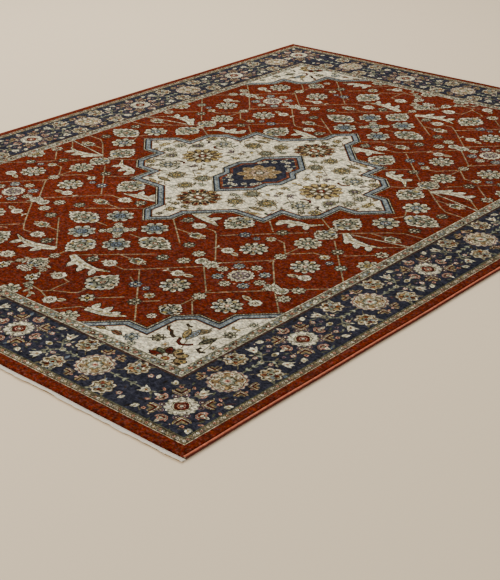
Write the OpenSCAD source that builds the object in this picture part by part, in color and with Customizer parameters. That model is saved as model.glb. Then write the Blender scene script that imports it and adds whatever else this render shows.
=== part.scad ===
// Area rug: a woven ground with a cut pile laid out in zones of coloured yarn, serged long sides
// and tape-bound ends. X runs along the rug, Y across it, Z up. The origin is the middle of the
// underside, so the rug lies on the plane z = 0.

/* [Overall] */
// Length over both end tapes
rug_l = 3300; // [2400:10:4200]
// Width over both serged sides
rug_w = 2390; // [2000:10:3200]

/* [Layers] */
// Thickness of the latex back coating
coating_t = 0.8; // [0.4:0.1:1.5]
// Thickness of the woven ground
weave_t = 2.2; // [1.4:0.1:4]
// Height of the pile above the woven ground
pile_h = 8; // [5:0.5:16]

/* [Ends] */
// Bare ground that the end tape covers, outside the pile
hem_w = 15; // [10:1:40]
// Thickness of the end tape
tape_t = 0.8; // [0.4:0.1:1.5]
// How far the lower leaf of the tape runs in under the pile
tape_under = 15; // [5:1:40]
// Length of tape beyond the woven ground's cut end
tape_nose = 3; // [1:0.5:8]
// Thickness of the sewing thread on the tapes
thread_d = 0.8; // [0.4:0.1:1.5]
// Distance from the pile to the sewn line
thread_in = 4; // [2:0.5:10]

/* [Sides] */
// Diameter of the serged side, wrap and cord together
serging_d = 11; // [8:0.5:14]
// Diameter of the cord inside the wrap
cord_d = 6.4; // [3:0.2:8]
// Room between the cord and the wrap
cord_gap = 0.1; // [0:0.05:0.5]
/* [Bands of the design] */
// Plain red band along the ends
edge_band_x = 39; // [20:1:80]
// Plain red band along the sides
edge_band_y = 31; // [20:1:80]
// Outer beaded guard stripe
outer_guard_w = 24; // [15:1:50]
// Dark main border along the ends
main_border_x = 209; // [120:1:300]
// Dark main border along the sides
main_border_y = 217; // [120:1:300]
// Inner flowered guard stripe
inner_guard_w = 42; // [25:1:70]

/* [Medallions] */
// Width of the blue outline bands, with their edging lines
outline_w = 36; // [20:1:50]
// Scale of the large medallion's stepped outline
medallion_k = 1; // [0.7:0.05:1.1]
// Scale of the small medallion's stepped outline
centre_k = 1; // [0.7:0.05:1.3]
// Scale of the stepped corner pieces
corner_k = 1; // [0.6:0.05:1.2]

/* [Care label] */
// Length of the label, along the rug
label_l = 90; // [50:5:150]
// Width of the label, across the rug
label_w = 60; // [30:5:100]
// Thickness of the label
label_t = 0.4; // [0.2:0.1:0.5]
// Distance from the rug's edges to the label
label_in = 120; // [60:5:300]
// Distance from the label's edge to its stitching
label_seam = 5; // [3:1:10]

/* [Hidden] */
$fn = 48;

weave_top = coating_t + weave_t;
serging_y = rug_w / 2 - serging_d / 2;  // middle line of the serged side
weave_y = serging_y - cord_d / 2 - cord_gap;  // the woven ground stops short of the cord
pile_x = rug_l / 2 - hem_w;  // half length of the pile
pile_y = rug_w / 2 - serging_d;  // half width of the pile
weave_x = rug_l / 2 - tape_nose;  // half length of the woven ground
tape_x = pile_x - tape_under;  // where the tape's lower leaf starts
thread_x = pile_x + thread_in;
guard_x = pile_x - edge_band_x;
guard_y = pile_y - edge_band_y;
border_x = guard_x - outer_guard_w;
border_y = guard_y - outer_guard_w;
inner_x = border_x - main_border_x;
inner_y = border_y - main_border_y;
field_x = inner_x - inner_guard_w;
field_y = inner_y - inner_guard_w;

// Middle line of each outline band, one quarter of it, from the long axis to the cross axis
medallion_steps = [
    [615, 0], [555, 60], [490, 60], [358, 192], [358, 332], [252, 332],
    [252, 416], [200, 468], [85, 468], [85, 547], [0, 632]
];
centre_steps = [[245, 0], [142, 103], [78, 103], [42, 139], [0, 139]];
// Corner pieces, as distances in from the two sides of the field
corner_steps = [
    [0, 408], [90, 318], [90, 232], [205, 232], [255, 182], [255, 91], [335, 91], [426, 0]
];
corner_run_on = 60;  // the corner outline is carried past the field, then cut off

// All four quarters of an outline that is given for one
function drop_first(p) = [for (i = [1:len(p) - 1]) p[i]];
function backwards(p) = [for (i = [len(p) - 1:-1:0]) p[i]];
function half_round(q) = concat(q, drop_first(backwards([for (p = q) [-p.x, p.y]])));
function whole_round(q) =
    let (h = half_round(q))
    concat(h, drop_first(backwards(drop_first([for (p = h) [p.x, -p.y]]))));

// A closed outline moved out by d, with mitred corners; the outline runs anticlockwise
function out_of(a, b) = let (v = (b - a) / norm(b - a)) [v.y, -v.x];
function mitred(p, d) = [
    for (i = [0:len(p) - 1])
        let (
            before = out_of(p[(i + len(p) - 1) % len(p)], p[i]),
            after = out_of(p[i], p[(i + 1) % len(p)])
        )
        p[i] + d * (before + after) / (1 + before * after)
];

// The corner piece at the field's corner on +X and +Y
function corner_outline() =
    let (steps = [for (s = corner_steps) [field_x, field_y] - corner_k * s])
    concat(
        [[field_x + corner_run_on, field_y + corner_run_on]],
        [steps[len(steps) - 1] + [-corner_run_on, corner_run_on]],
        backwards(steps),
        [steps[0] + [corner_run_on, -corner_run_on]]
    );

module slab(x, y, low, high) {
    translate([-x, -y, low]) cube([2 * x, 2 * y, high - low]);
}

module pile() {
    translate([0, 0, weave_top]) linear_extrude(pile_h) children();
}

module rectangle(x, y) {
    square([2 * x, 2 * y], center = true);
}

module frame_of(x, y, inner_x, inner_y) {
    difference() {
        rectangle(x, y);
        rectangle(inner_x, inner_y);
    }
}

module medallion_shape(d) {
    polygon(mitred(medallion_k * whole_round(medallion_steps), d));
}

module centre_shape(d) {
    polygon(mitred(centre_k * whole_round(centre_steps), d));
}

module corner_shapes(d) {
    intersection() {
        rectangle(field_x, field_y);
        union() {
            for (sx = [0, 1], sy = [0, 1])
                mirror([sx, 0]) mirror([0, sy]) polygon(mitred(corner_outline(), d));
        }
    }
}

module label_outline(d) {
    translate([rug_l / 2 - label_in - label_l / 2, rug_w / 2 - label_in - label_w / 2])
        square([label_l - 2 * d, label_w - 2 * d], center = true);
}

// Warps and wefts woven together: it carries every tuft, and its edges run into the side wraps
module ground_weave() {
    color("wheat") slab(weave_x, weave_y, coating_t, weave_top);
}

// Latex spread over the back to lock the tufts; the care label lies flush in it
module back_coating() {
    color("burlywood") difference() {
        slab(tape_x, pile_y, 0, coating_t);
        translate([0, 0, -1]) linear_extrude(label_t + 1) label_outline(0);
    }
}

// Cotton tape folded over the cut end of the woven ground
module end_tape(side) {
    color("ivory") mirror([side, 0, 0]) difference() {
        translate([0, rug_w / 2, 0]) rotate([90, 0, 0]) linear_extrude(rug_w) polygon([
            [tape_x, 0], [rug_l / 2, 0], [rug_l / 2, weave_top + tape_t],
            [pile_x, weave_top + tape_t], [pile_x, weave_top],
            [weave_x, weave_top], [weave_x, coating_t], [tape_x, coating_t]
        ]);
        // the lower leaf stays between the serged sides
        for (sy = [0, 1]) mirror([0, sy, 0])
            translate([tape_x - 1, pile_y, -1]) cube([tape_under + 1, serging_d + 1, coating_t + 2]);
    }
}

// Sewing thread that runs along the tape, close to the pile
module tape_thread(side) {
    color("linen") mirror([side, 0, 0])
        translate([thread_x, -pile_y, weave_top + tape_t + thread_d / 2])
            rotate([-90, 0, 0]) cylinder(d = thread_d, h = 2 * pile_y);
}

// Cotton cord laid along the side, inside the wrap
module side_cord(side) {
    color("tan") mirror([0, side, 0]) translate([-pile_x, serging_y, serging_d / 2])
        rotate([0, 90, 0]) cylinder(d = cord_d, h = 2 * pile_x);
}

// Yarn overcast round the cord and the edge of the woven ground
module side_serging(side) {
    color("firebrick") difference() {
        mirror([0, side, 0]) translate([-pile_x, serging_y, serging_d / 2])
            rotate([0, 90, 0]) difference() {
                cylinder(d = serging_d, h = 2 * pile_x);
                translate([0, 0, -1]) cylinder(d = cord_d + 2 * cord_gap, h = 2 * pile_x + 2);
            }
        slab(pile_x + 1, weave_y, coating_t, weave_top);
    }
}

module pile_edge_band() {
    color("firebrick") pile() frame_of(pile_x, pile_y, guard_x, guard_y);
}

module pile_outer_guard() {
    color("darkkhaki") pile() frame_of(guard_x, guard_y, border_x, border_y);
}

module pile_main_border() {
    color("midnightblue") pile() frame_of(border_x, border_y, inner_x, inner_y);
}

module pile_inner_guard() {
    color("darkseagreen") pile() frame_of(inner_x, inner_y, field_x, field_y);
}

module pile_field() {
    color("brown") pile() difference() {
        rectangle(field_x, field_y);
        corner_shapes(outline_w / 2);
        medallion_shape(outline_w / 2);
    }
}

module pile_corner_outlines() {
    color("slategray") pile() difference() {
        corner_shapes(outline_w / 2);
        corner_shapes(-outline_w / 2);
    }
}

module pile_corners() {
    color("beige") pile() corner_shapes(-outline_w / 2);
}

module pile_medallion_outline() {
    color("slategray") pile() difference() {
        medallion_shape(outline_w / 2);
        medallion_shape(-outline_w / 2);
    }
}

module pile_medallion() {
    color("beige") pile() difference() {
        medallion_shape(-outline_w / 2);
        centre_shape(outline_w / 2);
    }
}

module pile_centre_outline() {
    color("slategray") pile() difference() {
        centre_shape(outline_w / 2);
        centre_shape(-outline_w / 2);
    }
}

module pile_centre() {
    color("darkslateblue") pile() centre_shape(-outline_w / 2);
}

// Blank woven label sewn to the back near one corner
module care_label() {
    color("white") linear_extrude(label_t) difference() {
        label_outline(0);
        difference() {
            label_outline(label_seam);
            label_outline(label_seam + thread_d);
        }
    }
}

module label_thread() {
    color("gray") linear_extrude(label_t) difference() {
        label_outline(label_seam);
        label_outline(label_seam + thread_d);
    }
}

ground_weave();
back_coating();
end_tape(1);  // end_tape_near
end_tape(0);  // end_tape_far
tape_thread(1);  // tape_thread_near
tape_thread(0);  // tape_thread_far
side_cord(0);  // side_cord_left
side_cord(1);  // side_cord_right
side_serging(0);  // side_serging_left
side_serging(1);  // side_serging_right
pile_edge_band();
pile_outer_guard();
pile_main_border();
pile_inner_guard();
pile_field();
pile_corner_outlines();
pile_corners();
pile_medallion_outline();
pile_medallion();
pile_centre_outline();
pile_centre();
care_label();
label_thread();
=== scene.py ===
import math

import bpy
import numpy as np
from mathutils import Matrix, Vector
from mathutils.geometry import delaunay_2d_cdt


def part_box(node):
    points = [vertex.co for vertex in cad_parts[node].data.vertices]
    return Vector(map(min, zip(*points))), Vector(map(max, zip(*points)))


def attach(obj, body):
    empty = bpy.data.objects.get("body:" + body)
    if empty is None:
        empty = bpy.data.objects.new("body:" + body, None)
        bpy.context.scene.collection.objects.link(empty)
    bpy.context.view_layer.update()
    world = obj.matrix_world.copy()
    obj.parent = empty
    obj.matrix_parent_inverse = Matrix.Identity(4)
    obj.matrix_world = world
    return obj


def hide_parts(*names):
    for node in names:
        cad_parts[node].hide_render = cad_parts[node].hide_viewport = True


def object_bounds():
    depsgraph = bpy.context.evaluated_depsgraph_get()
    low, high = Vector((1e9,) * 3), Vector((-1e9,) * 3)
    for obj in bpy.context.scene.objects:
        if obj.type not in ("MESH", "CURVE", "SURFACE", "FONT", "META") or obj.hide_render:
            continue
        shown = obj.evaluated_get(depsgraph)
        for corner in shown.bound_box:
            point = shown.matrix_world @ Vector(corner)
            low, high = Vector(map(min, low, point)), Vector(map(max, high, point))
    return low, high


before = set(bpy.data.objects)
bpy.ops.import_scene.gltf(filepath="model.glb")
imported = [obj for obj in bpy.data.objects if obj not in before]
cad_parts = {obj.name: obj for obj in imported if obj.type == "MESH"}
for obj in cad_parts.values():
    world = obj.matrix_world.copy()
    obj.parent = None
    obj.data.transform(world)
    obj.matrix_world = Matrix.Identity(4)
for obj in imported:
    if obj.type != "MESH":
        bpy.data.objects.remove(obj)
cad_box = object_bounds()

# --- Camera ------------------------------------------------------------------------------------
# It stands off the rug's near corner at eye height, a little rolled, and looks down at the pile
# this side of the middle. It has a short telephoto lens.
camera = bpy.data.objects.new("camera", bpy.data.cameras.new("camera"))
bpy.context.scene.collection.objects.link(camera)
camera.data.lens = 76
camera.data.clip_end = 60
camera_right = Vector((0.66602, -0.74587, -0.01002))
camera_up = Vector((0.33027, 0.28282, 0.90052))
camera_back = Vector((-0.66884, -0.60307, 0.43470))
camera_turn = Matrix((camera_right, camera_up, camera_back)).transposed()
camera.rotation_euler = camera_turn.to_euler()
camera.location = (-3.422, -3.028, 1.702)
bpy.context.scene.camera = camera

# --- Woven ground ------------------------------------------------------------------------------
# The ground carries every tuft: cotton warps run along the rug and thicker jute wefts cross them.
# It is one sheet from tape to tape, and it stops just short of the cords along the sides.
RUG_HIGH = Vector(cad_box[1])
GROUND_LOW, GROUND_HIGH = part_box("ground_weave")


def settled(points):
    """Where points of the flat rug lie once its edges have eased out of true, in metres."""
    x, y, z = np.array(points, dtype=float).T
    near_end = np.abs(x / RUG_HIGH.x) ** 12
    near_side = np.abs(y / RUG_HIGH.y) ** 10
    ease_x = near_end * (0.0011 * np.sin(y * 9.0 + 1.1) + 0.0007 * np.sin(y * 23.0 + x))
    ease_y = near_side * (0.0012 * np.sin(x * 4.1 + 0.6) + 0.0006 * np.sin(x * 13.0))
    return np.stack([x + ease_x, y + ease_y, z], axis=1)


def new_mesh(name, points, faces, material, smooth=False):
    """A mesh object at the origin, from points in metres and faces as lists of point numbers."""
    mesh = bpy.data.meshes.new(name)
    mesh.from_pydata([tuple(p) for p in points], [], [tuple(int(i) for i in f) for f in faces])
    mesh.update()
    if smooth:
        mesh.shade_smooth()
    mesh.materials.append(material)
    made = bpy.data.objects.new(name, mesh)
    bpy.context.scene.collection.objects.link(made)
    return made


def srgb(r, g, b):
    """A colour given as a screen shows it, 0 to 255, in the shader's linear numbers."""
    return tuple((c / 255) ** 2.2 for c in (r, g, b)) + (1.0,)


class Cloth:
    """A node material for textiles: it holds the tree and lays nodes out as they are asked for."""

    def __init__(self, name, roughness=0.95, sheen=0.0, tint=(1, 1, 1, 1)):
        self.material = bpy.data.materials.new(name)
        self.material.use_nodes = True
        self.tree = self.material.node_tree
        self.surface = self.tree.nodes["Principled BSDF"]
        self.surface.inputs["Roughness"].default_value = roughness
        self.surface.inputs["Specular IOR Level"].default_value = 0.12
        self.surface.inputs["Sheen Weight"].default_value = sheen
        self.surface.inputs["Sheen Roughness"].default_value = 0.5
        self.surface.inputs["Sheen Tint"].default_value = tint
        self.place = self.node("ShaderNodeTexCoord").outputs["Object"]

    def node(self, kind, **settings):
        made = self.tree.nodes.new(kind)
        for key, value in settings.items():
            setattr(made, key, value)
        return made

    def join(self, value, socket):
        """Links a socket to an input, or sets the input to a constant."""
        if isinstance(value, bpy.types.NodeSocket):
            self.tree.links.new(value, socket)
        else:
            socket.default_value = value

    def stretched(self, x, y, z, turn=0.0):
        """Object coordinates turned about Z, then scaled along each axis."""
        mapping = self.node("ShaderNodeMapping", vector_type="POINT")
        mapping.inputs["Scale"].default_value = (x, y, z)
        mapping.inputs["Rotation"].default_value = (0, 0, math.radians(turn))
        self.join(self.place, mapping.inputs["Vector"])
        return mapping.outputs["Vector"]

    def ranged(self, value, from_low, from_high, low, high):
        made = self.node("ShaderNodeMapRange")
        numbers = (from_low, from_high, low, high)
        for key, number in zip(("From Min", "From Max", "To Min", "To Max"), numbers):
            made.inputs[key].default_value = number
        self.join(value, made.inputs["Value"])
        return made.outputs["Result"]

    def noise(self, scale, low=0.0, high=1.0, detail=2.0, vector=None, spread=0.2):
        """Noise, spread about its middle so that it runs from low to high."""
        made = self.node("ShaderNodeTexNoise")
        made.inputs["Scale"].default_value = scale
        made.inputs["Detail"].default_value = detail
        self.join(vector or self.place, made.inputs["Vector"])
        return self.ranged(made.outputs["Fac"], 0.5 - spread, 0.5 + spread, low, high)

    def waves(self, direction, pitch, distortion=0.0, vector=None):
        """Ribs from 0 to 1 along one axis, one to each pitch in metres."""
        made = self.node("ShaderNodeTexWave", bands_direction=direction)
        made.inputs["Scale"].default_value = math.pi / (10 * pitch)
        made.inputs["Distortion"].default_value = distortion
        made.inputs["Detail Scale"].default_value = 2.0
        self.join(vector or self.place, made.inputs["Vector"])
        return made.outputs["Fac"]

    def maths(self, operation, a, b):
        made = self.node("ShaderNodeMath", operation=operation)
        self.join(a, made.inputs[0])
        self.join(b, made.inputs[1])
        return made.outputs["Value"]

    def mixed(self, a, b, share, blend="MIX"):
        """Two colours mixed; each is a socket or a colour, and share is a socket or a number."""
        made = self.node("ShaderNodeMix", data_type="RGBA", blend_type=blend)
        self.join(share, made.inputs[0])
        self.join(a, made.inputs[6])
        self.join(b, made.inputs[7])
        return made.outputs[2]

    def shaded(self, colour, value):
        """A colour made lighter or darker by a value about 1."""
        made = self.node("ShaderNodeHueSaturation")
        self.join(value, made.inputs["Value"])
        self.join(colour, made.inputs["Color"])
        return made.outputs["Color"]

    def finished(self, colour, height, distance, strength=1.0):
        """Sets the colour and the bump, and gives the material."""
        self.join(colour, self.surface.inputs["Base Color"])
        bump = self.node("ShaderNodeBump")
        bump.inputs["Distance"].default_value = distance
        bump.inputs["Strength"].default_value = strength
        self.join(height, bump.inputs["Height"])
        self.join(bump.outputs["Normal"], self.surface.inputs["Normal"])
        return self.material


def ground_cloth():
    cloth = Cloth("ground_cloth")
    weave = cloth.maths("MULTIPLY", cloth.waves("X", 0.005, 1.5), cloth.waves("Y", 0.0035))
    jute = cloth.mixed(srgb(120, 98, 66), srgb(196, 176, 138), weave)
    jute = cloth.mixed(jute, srgb(150, 120, 82), cloth.noise(14, 0, 0.6, 4))
    return cloth.finished(jute, weave, 0.0008)


def slab_points(xs, ys, high, low):
    """The points of a closed sheet gridded at xs and ys; high and low give its two faces' z."""
    flat = [(x, y) for y in ys for x in xs]
    return [(x, y, high(x, y)) for x, y in flat] + [(x, y, low(x, y)) for x, y in flat]


def slab_faces(wide, deep):
    base = wide * deep
    faces = []
    for j in range(deep - 1):
        for i in range(wide - 1):
            a = j * wide + i
            faces.append((a, a + 1, a + wide + 1, a + wide))
            faces.append((base + a, base + a + wide, base + a + wide + 1, base + a + 1))
    rim = list(range(wide)) + [j * wide + wide - 1 for j in range(1, deep)]
    rim += [(deep - 1) * wide + i for i in range(wide - 2, -1, -1)]
    rim += [j * wide for j in range(deep - 2, 0, -1)]
    faces += [(a, base + a, base + b, b) for a, b in zip(rim, rim[1:] + rim[:1])]
    return faces


def spaced(low, high, step):
    return list(np.linspace(low, high, max(2, round((high - low) / step) + 1)))


tufted_on = []


def built(piece, node, part_of=tufted_on):
    """Puts a piece in place of one node: parents it to the root body, hides the node and adds the piece to a
    list; the rug is a single body.
    """
    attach(piece, "root")
    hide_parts(node)
    part_of.append(piece)


ground_x = spaced(GROUND_LOW.x, GROUND_HIGH.x, 0.03)
ground_y = spaced(GROUND_LOW.y, GROUND_HIGH.y, 0.03)
ground_points = slab_points(ground_x, ground_y, lambda x, y: GROUND_HIGH.z, lambda x, y: GROUND_LOW.z)
ground_faces = slab_faces(len(ground_x), len(ground_y))
ground = new_mesh("woven_ground", settled(ground_points), ground_faces, ground_cloth())
built(ground, "ground_weave", [])

# --- Latex back --------------------------------------------------------------------------------
# A skin of latex, spread over the back of the weave, locks the tufts in. The weave telegraphs
# through it as low ribs. It was cut away under the care label so that the label lies flush.
BACK_LOW, BACK_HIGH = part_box("back_coating")
LABEL_LOW, LABEL_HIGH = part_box("care_label")
POCKET_WALL = 0.0003


def back_latex():
    cloth = Cloth("back_latex", 0.75)
    ribs = cloth.maths("MAXIMUM", cloth.waves("X", 0.006, 1.0), cloth.waves("Y", 0.006, 1.0))
    latex = cloth.mixed(srgb(168, 150, 116), srgb(208, 194, 164), ribs)
    latex = cloth.mixed(latex, srgb(150, 128, 92), cloth.noise(6, 0, 0.5, 5))
    return cloth.finished(latex, cloth.maths("ADD", ribs, cloth.noise(180, 0, 0.5)), 0.0006)


def in_pocket(x, y):
    return LABEL_LOW.x <= x <= LABEL_HIGH.x and LABEL_LOW.y <= y <= LABEL_HIGH.y


def with_pocket(steps, low, high):
    """Grid lines with four more at the pocket's walls."""
    kept = [s for s in steps if not (low - 0.002 < s < high + 0.002)]
    return sorted(kept + [low - POCKET_WALL, low, high, high + POCKET_WALL])


back_x = with_pocket(spaced(BACK_LOW.x, BACK_HIGH.x, 0.05), LABEL_LOW.x, LABEL_HIGH.x)
back_y = with_pocket(spaced(BACK_LOW.y, BACK_HIGH.y, 0.05), LABEL_LOW.y, LABEL_HIGH.y)


def back_low(x, y):
    return LABEL_HIGH.z if in_pocket(x, y) else 0


back_points = slab_points(back_x, back_y, lambda x, y: BACK_HIGH.z, back_low)
back_faces = slab_faces(len(back_x), len(back_y))
back = new_mesh("latex_back", settled(back_points), back_faces, back_latex())
built(back, "back_coating")

# --- Care label --------------------------------------------------------------------------------
# A blank woven label with a coloured selvedge stripe along each long side. It is sewn to the back
# near one corner, all round, with running stitches of grey thread.
STITCH_LONG, STITCH_GAP = 0.0032, 0.0014
SEAM_END, SEAM_IN, SEAM_HIGH = 0.002, 0.0004, 0.0002
THREAD_LOW, THREAD_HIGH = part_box("label_thread")


def label_weave():
    cloth = Cloth("label_weave", 0.8, 0.2)
    ribs = cloth.maths("MULTIPLY", cloth.waves("X", 0.0009), cloth.waves("Y", 0.0012))
    middle = (LABEL_LOW + LABEL_HIGH) / 2
    split = cloth.node("ShaderNodeSeparateXYZ")
    cloth.join(cloth.place, split.inputs[0])
    aside = cloth.maths("ABSOLUTE", cloth.maths("SUBTRACT", split.outputs["Y"], middle.y), 0)
    stripe = cloth.maths("GREATER_THAN", aside, (LABEL_HIGH.y - LABEL_LOW.y) / 2 - 0.0035)
    colour = cloth.mixed(srgb(212, 206, 194), srgb(120, 42, 30), stripe)
    colour = cloth.shaded(colour, cloth.ranged(ribs, 0, 1, 0.75, 1.05))
    return cloth.finished(colour, ribs, 0.0002)


def thread_cloth(name, dark, light):
    cloth = Cloth(name, 0.7, 0.2)
    twist = cloth.waves("DIAGONAL", 0.0012, 1.0)
    colour = cloth.mixed(dark, light, twist)
    return cloth.finished(cloth.shaded(colour, cloth.noise(400, 0.85, 1.1)), twist, 0.0003)


def tube(path, radius_u, radius_v, sides, closed):
    """Points and faces of a tube along a path in the XZ plane or in 3-D; ends are capped."""
    path = [Vector(p) for p in path]
    points = []
    faces = []
    count = len(path)
    for i, p in enumerate(path):
        ahead = path[(i + 1) % count] if closed or i + 1 < count else p
        behind = path[i - 1] if closed or i else p
        along = (ahead - behind).normalized()
        side = Vector((0, 1, 0)) if abs(along.y) < 0.7 else Vector((1, 0, 0))
        out = along.cross(side).normalized()
        side = out.cross(along).normalized()
        for k in range(sides):
            angle = 2 * math.pi * (k + 0.5) / sides
            points.append(p + side * math.cos(angle) * radius_u + out * math.sin(angle) * radius_v)
    for i in range(count if closed else count - 1):
        a, b = i * sides, ((i + 1) % count) * sides
        for k in range(sides):
            n = (k + 1) % sides
            faces.append((a + k, a + n, b + n, b + k))
    if not closed:
        faces.append(tuple(range(sides - 1, -1, -1)))
        faces.append(tuple((count - 1) * sides + k for k in range(sides)))
    return points, faces


def repeated(name, unit, places, turns, material, wobble, seed):
    """Geometry Nodes copies of one small mesh, set down at each place and turned about Z.

    Each copy leans by up to wobble radians and varies a little in size."""
    spots = bpy.data.meshes.new(name + "_spots")
    spots.from_pydata([tuple(p) for p in places], [], [])
    facing = spots.attributes.new("facing", "FLOAT", "POINT")
    facing.data.foreach_set("value", list(turns))
    made = bpy.data.objects.new(name, spots)
    bpy.context.scene.collection.objects.link(made)
    tree = bpy.data.node_groups.new(name + "_row", "GeometryNodeTree")
    tree.interface.new_socket("Places", in_out="INPUT", socket_type="NodeSocketGeometry")
    unit_in = tree.interface.new_socket("Unit", in_out="INPUT", socket_type="NodeSocketObject")
    lean_in = tree.interface.new_socket("Lean", in_out="INPUT", socket_type="NodeSocketFloat")
    seed_in = tree.interface.new_socket("Seed", in_out="INPUT", socket_type="NodeSocketInt")
    tree.interface.new_socket("Row", in_out="OUTPUT", socket_type="NodeSocketGeometry")

    def node(kind, **joined):
        fresh = tree.nodes.new(kind)
        for socket, source in joined.items():
            tree.links.new(source, fresh.inputs[socket])
        return fresh

    given = node("NodeGroupInput")
    result = node("NodeGroupOutput")
    info = node("GeometryNodeObjectInfo", Object=given.outputs["Unit"])
    facing_in = node("GeometryNodeInputNamedAttribute")
    facing_in.data_type = "FLOAT"
    facing_in.inputs["Name"].default_value = "facing"
    flat = node("ShaderNodeCombineXYZ", Z=facing_in.outputs["Attribute"])
    lean = node("FunctionNodeRandomValue", Seed=given.outputs["Seed"])
    lean.data_type = "FLOAT_VECTOR"
    lean.inputs["Min"].default_value = (-1, -1, -1)
    scaled = node("ShaderNodeVectorMath")
    scaled.operation = "SCALE"
    tree.links.new(lean.outputs["Value"], scaled.inputs[0])
    tree.links.new(given.outputs["Lean"], scaled.inputs["Scale"])
    turned = node("ShaderNodeVectorMath")
    tree.links.new(scaled.outputs["Vector"], turned.inputs[0])
    tree.links.new(flat.outputs["Vector"], turned.inputs[1])
    size = node("FunctionNodeRandomValue", Seed=given.outputs["Seed"])
    size.inputs[2].default_value = 0.97
    size.inputs[3].default_value = 1.03
    copies = node(
        "GeometryNodeInstanceOnPoints", Points=given.outputs["Places"], Instance=info.outputs["Geometry"],
        Rotation=turned.outputs["Vector"], Scale=size.outputs[1],
    )
    real = node("GeometryNodeRealizeInstances", Geometry=copies.outputs["Instances"])
    dressed = node("GeometryNodeSetMaterial", Geometry=real.outputs["Geometry"])
    dressed.inputs["Material"].default_value = material
    tree.links.new(dressed.outputs["Geometry"], result.inputs["Row"])
    modifier = made.modifiers.new("row", "NODES")
    modifier.node_group = tree
    modifier[unit_in.identifier] = unit
    modifier[lean_in.identifier] = wobble
    modifier[seed_in.identifier] = seed
    bpy.context.view_layer.update()
    whole = bpy.data.meshes.new_from_object(made.evaluated_get(bpy.context.evaluated_depsgraph_get()))
    made.modifiers.clear()
    made.data = whole
    whole.name = name
    bpy.data.objects.remove(unit)
    return made


def stitch(long, radius, rise, material):
    """One stitch along X that comes up, lies flat and goes down again."""
    half = long / 2
    path = [(-half, 0, -rise), (-half * 0.8, 0, 0), (0, 0, radius * 0.2)]
    path += [(half * 0.8, 0, 0), (half, 0, -rise)]
    points, faces = tube(path, radius, radius * 0.8, 6, False)
    return new_mesh("stitch", points, faces, material, smooth=True)


label_x = spaced(LABEL_LOW.x, LABEL_HIGH.x, 0.01)
label_y = spaced(LABEL_LOW.y, LABEL_HIGH.y, 0.01)


def label_low(x, y):
    """The label's lower face, which is not quite flat."""
    return 0.00005 * math.sin(90 * x + 60 * y) + 0.0001


label_points = slab_points(label_x, label_y, lambda x, y: LABEL_HIGH.z, label_low)
label_faces = slab_faces(len(label_x), len(label_y))
label = new_mesh("woven_label", settled(label_points), label_faces, label_weave())
built(label, "care_label", [])

grey_thread = thread_cloth("grey_thread", srgb(96, 92, 88), srgb(168, 164, 158))
label_seam = []
label_turns = []
for x in spaced(THREAD_LOW.x + SEAM_END, THREAD_HIGH.x - SEAM_END, STITCH_LONG + STITCH_GAP):
    label_seam += [(x, THREAD_LOW.y + SEAM_IN, SEAM_HIGH), (x, THREAD_HIGH.y - SEAM_IN, SEAM_HIGH)]
    label_turns += [0, 0]
for y in spaced(THREAD_LOW.y + SEAM_END, THREAD_HIGH.y - SEAM_END, STITCH_LONG + STITCH_GAP):
    label_seam += [(THREAD_LOW.x + SEAM_IN, y, SEAM_HIGH), (THREAD_HIGH.x - SEAM_IN, y, SEAM_HIGH)]
    label_turns += [math.pi / 2, math.pi / 2]
loop = stitch(STITCH_LONG, 0.00035, -SEAM_HIGH, grey_thread)
label_thread = repeated("label_stitches", loop, settled(label_seam), label_turns, grey_thread, 0.03, 5)
built(label_thread, "label_thread", [])

# --- Wool pile: edge band ----------------------------------------------------------------------
# Cut wool tufts, a little uneven in their dye, stand on the weave across the rug. The outermost
# band is plain red, and its outer edge is sheared round. Each band of the design is its own piece,
# drawn in millimetres over a quarter of the rug and mirrored to the other three.
PILE_LOW, PILE_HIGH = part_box("pile_edge_band")
PILE_X, PILE_Y = PILE_HIGH.x * 1000, PILE_HIGH.y * 1000
GUARD_X, GUARD_Y = (1000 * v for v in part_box("pile_outer_guard")[1][:2])
BORDER_X, BORDER_Y = (1000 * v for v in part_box("pile_main_border")[1][:2])
INNER_X, INNER_Y = (1000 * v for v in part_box("pile_inner_guard")[1][:2])
FIELD_X, FIELD_Y = (1000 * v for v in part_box("pile_field")[1][:2])
SHEARED = ((0.0, 4.6), (0.8, 2.7), (2.2, 1.1), (4.4, 0.25), (7.0, 0.0))
SHEAR_STEP, SHEAR_END, MERGE = 40, 60, 1e-4
YARNS = {
    "red": (96, 30, 18), "deep": (86, 24, 18), "navy": (46, 46, 53), "ink": (38, 33, 29),
    "brown": (62, 48, 36), "cream": (218, 202, 170), "ivory": (212, 198, 166),
    "bone": (194, 178, 144), "olive": (112, 100, 76), "moss": (82, 82, 62), "sage": (142, 142, 116),
    "fog": (118, 114, 92), "blue": (96, 104, 108), "sky": (136, 142, 138), "tan": (150, 120, 84),
    "stem": (146, 124, 92), "gold": (164, 138, 84), "rust": (124, 60, 38), "pink": (184, 126, 104),
    "mauve": (118, 98, 100), "plum": (74, 44, 46),
}


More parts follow.
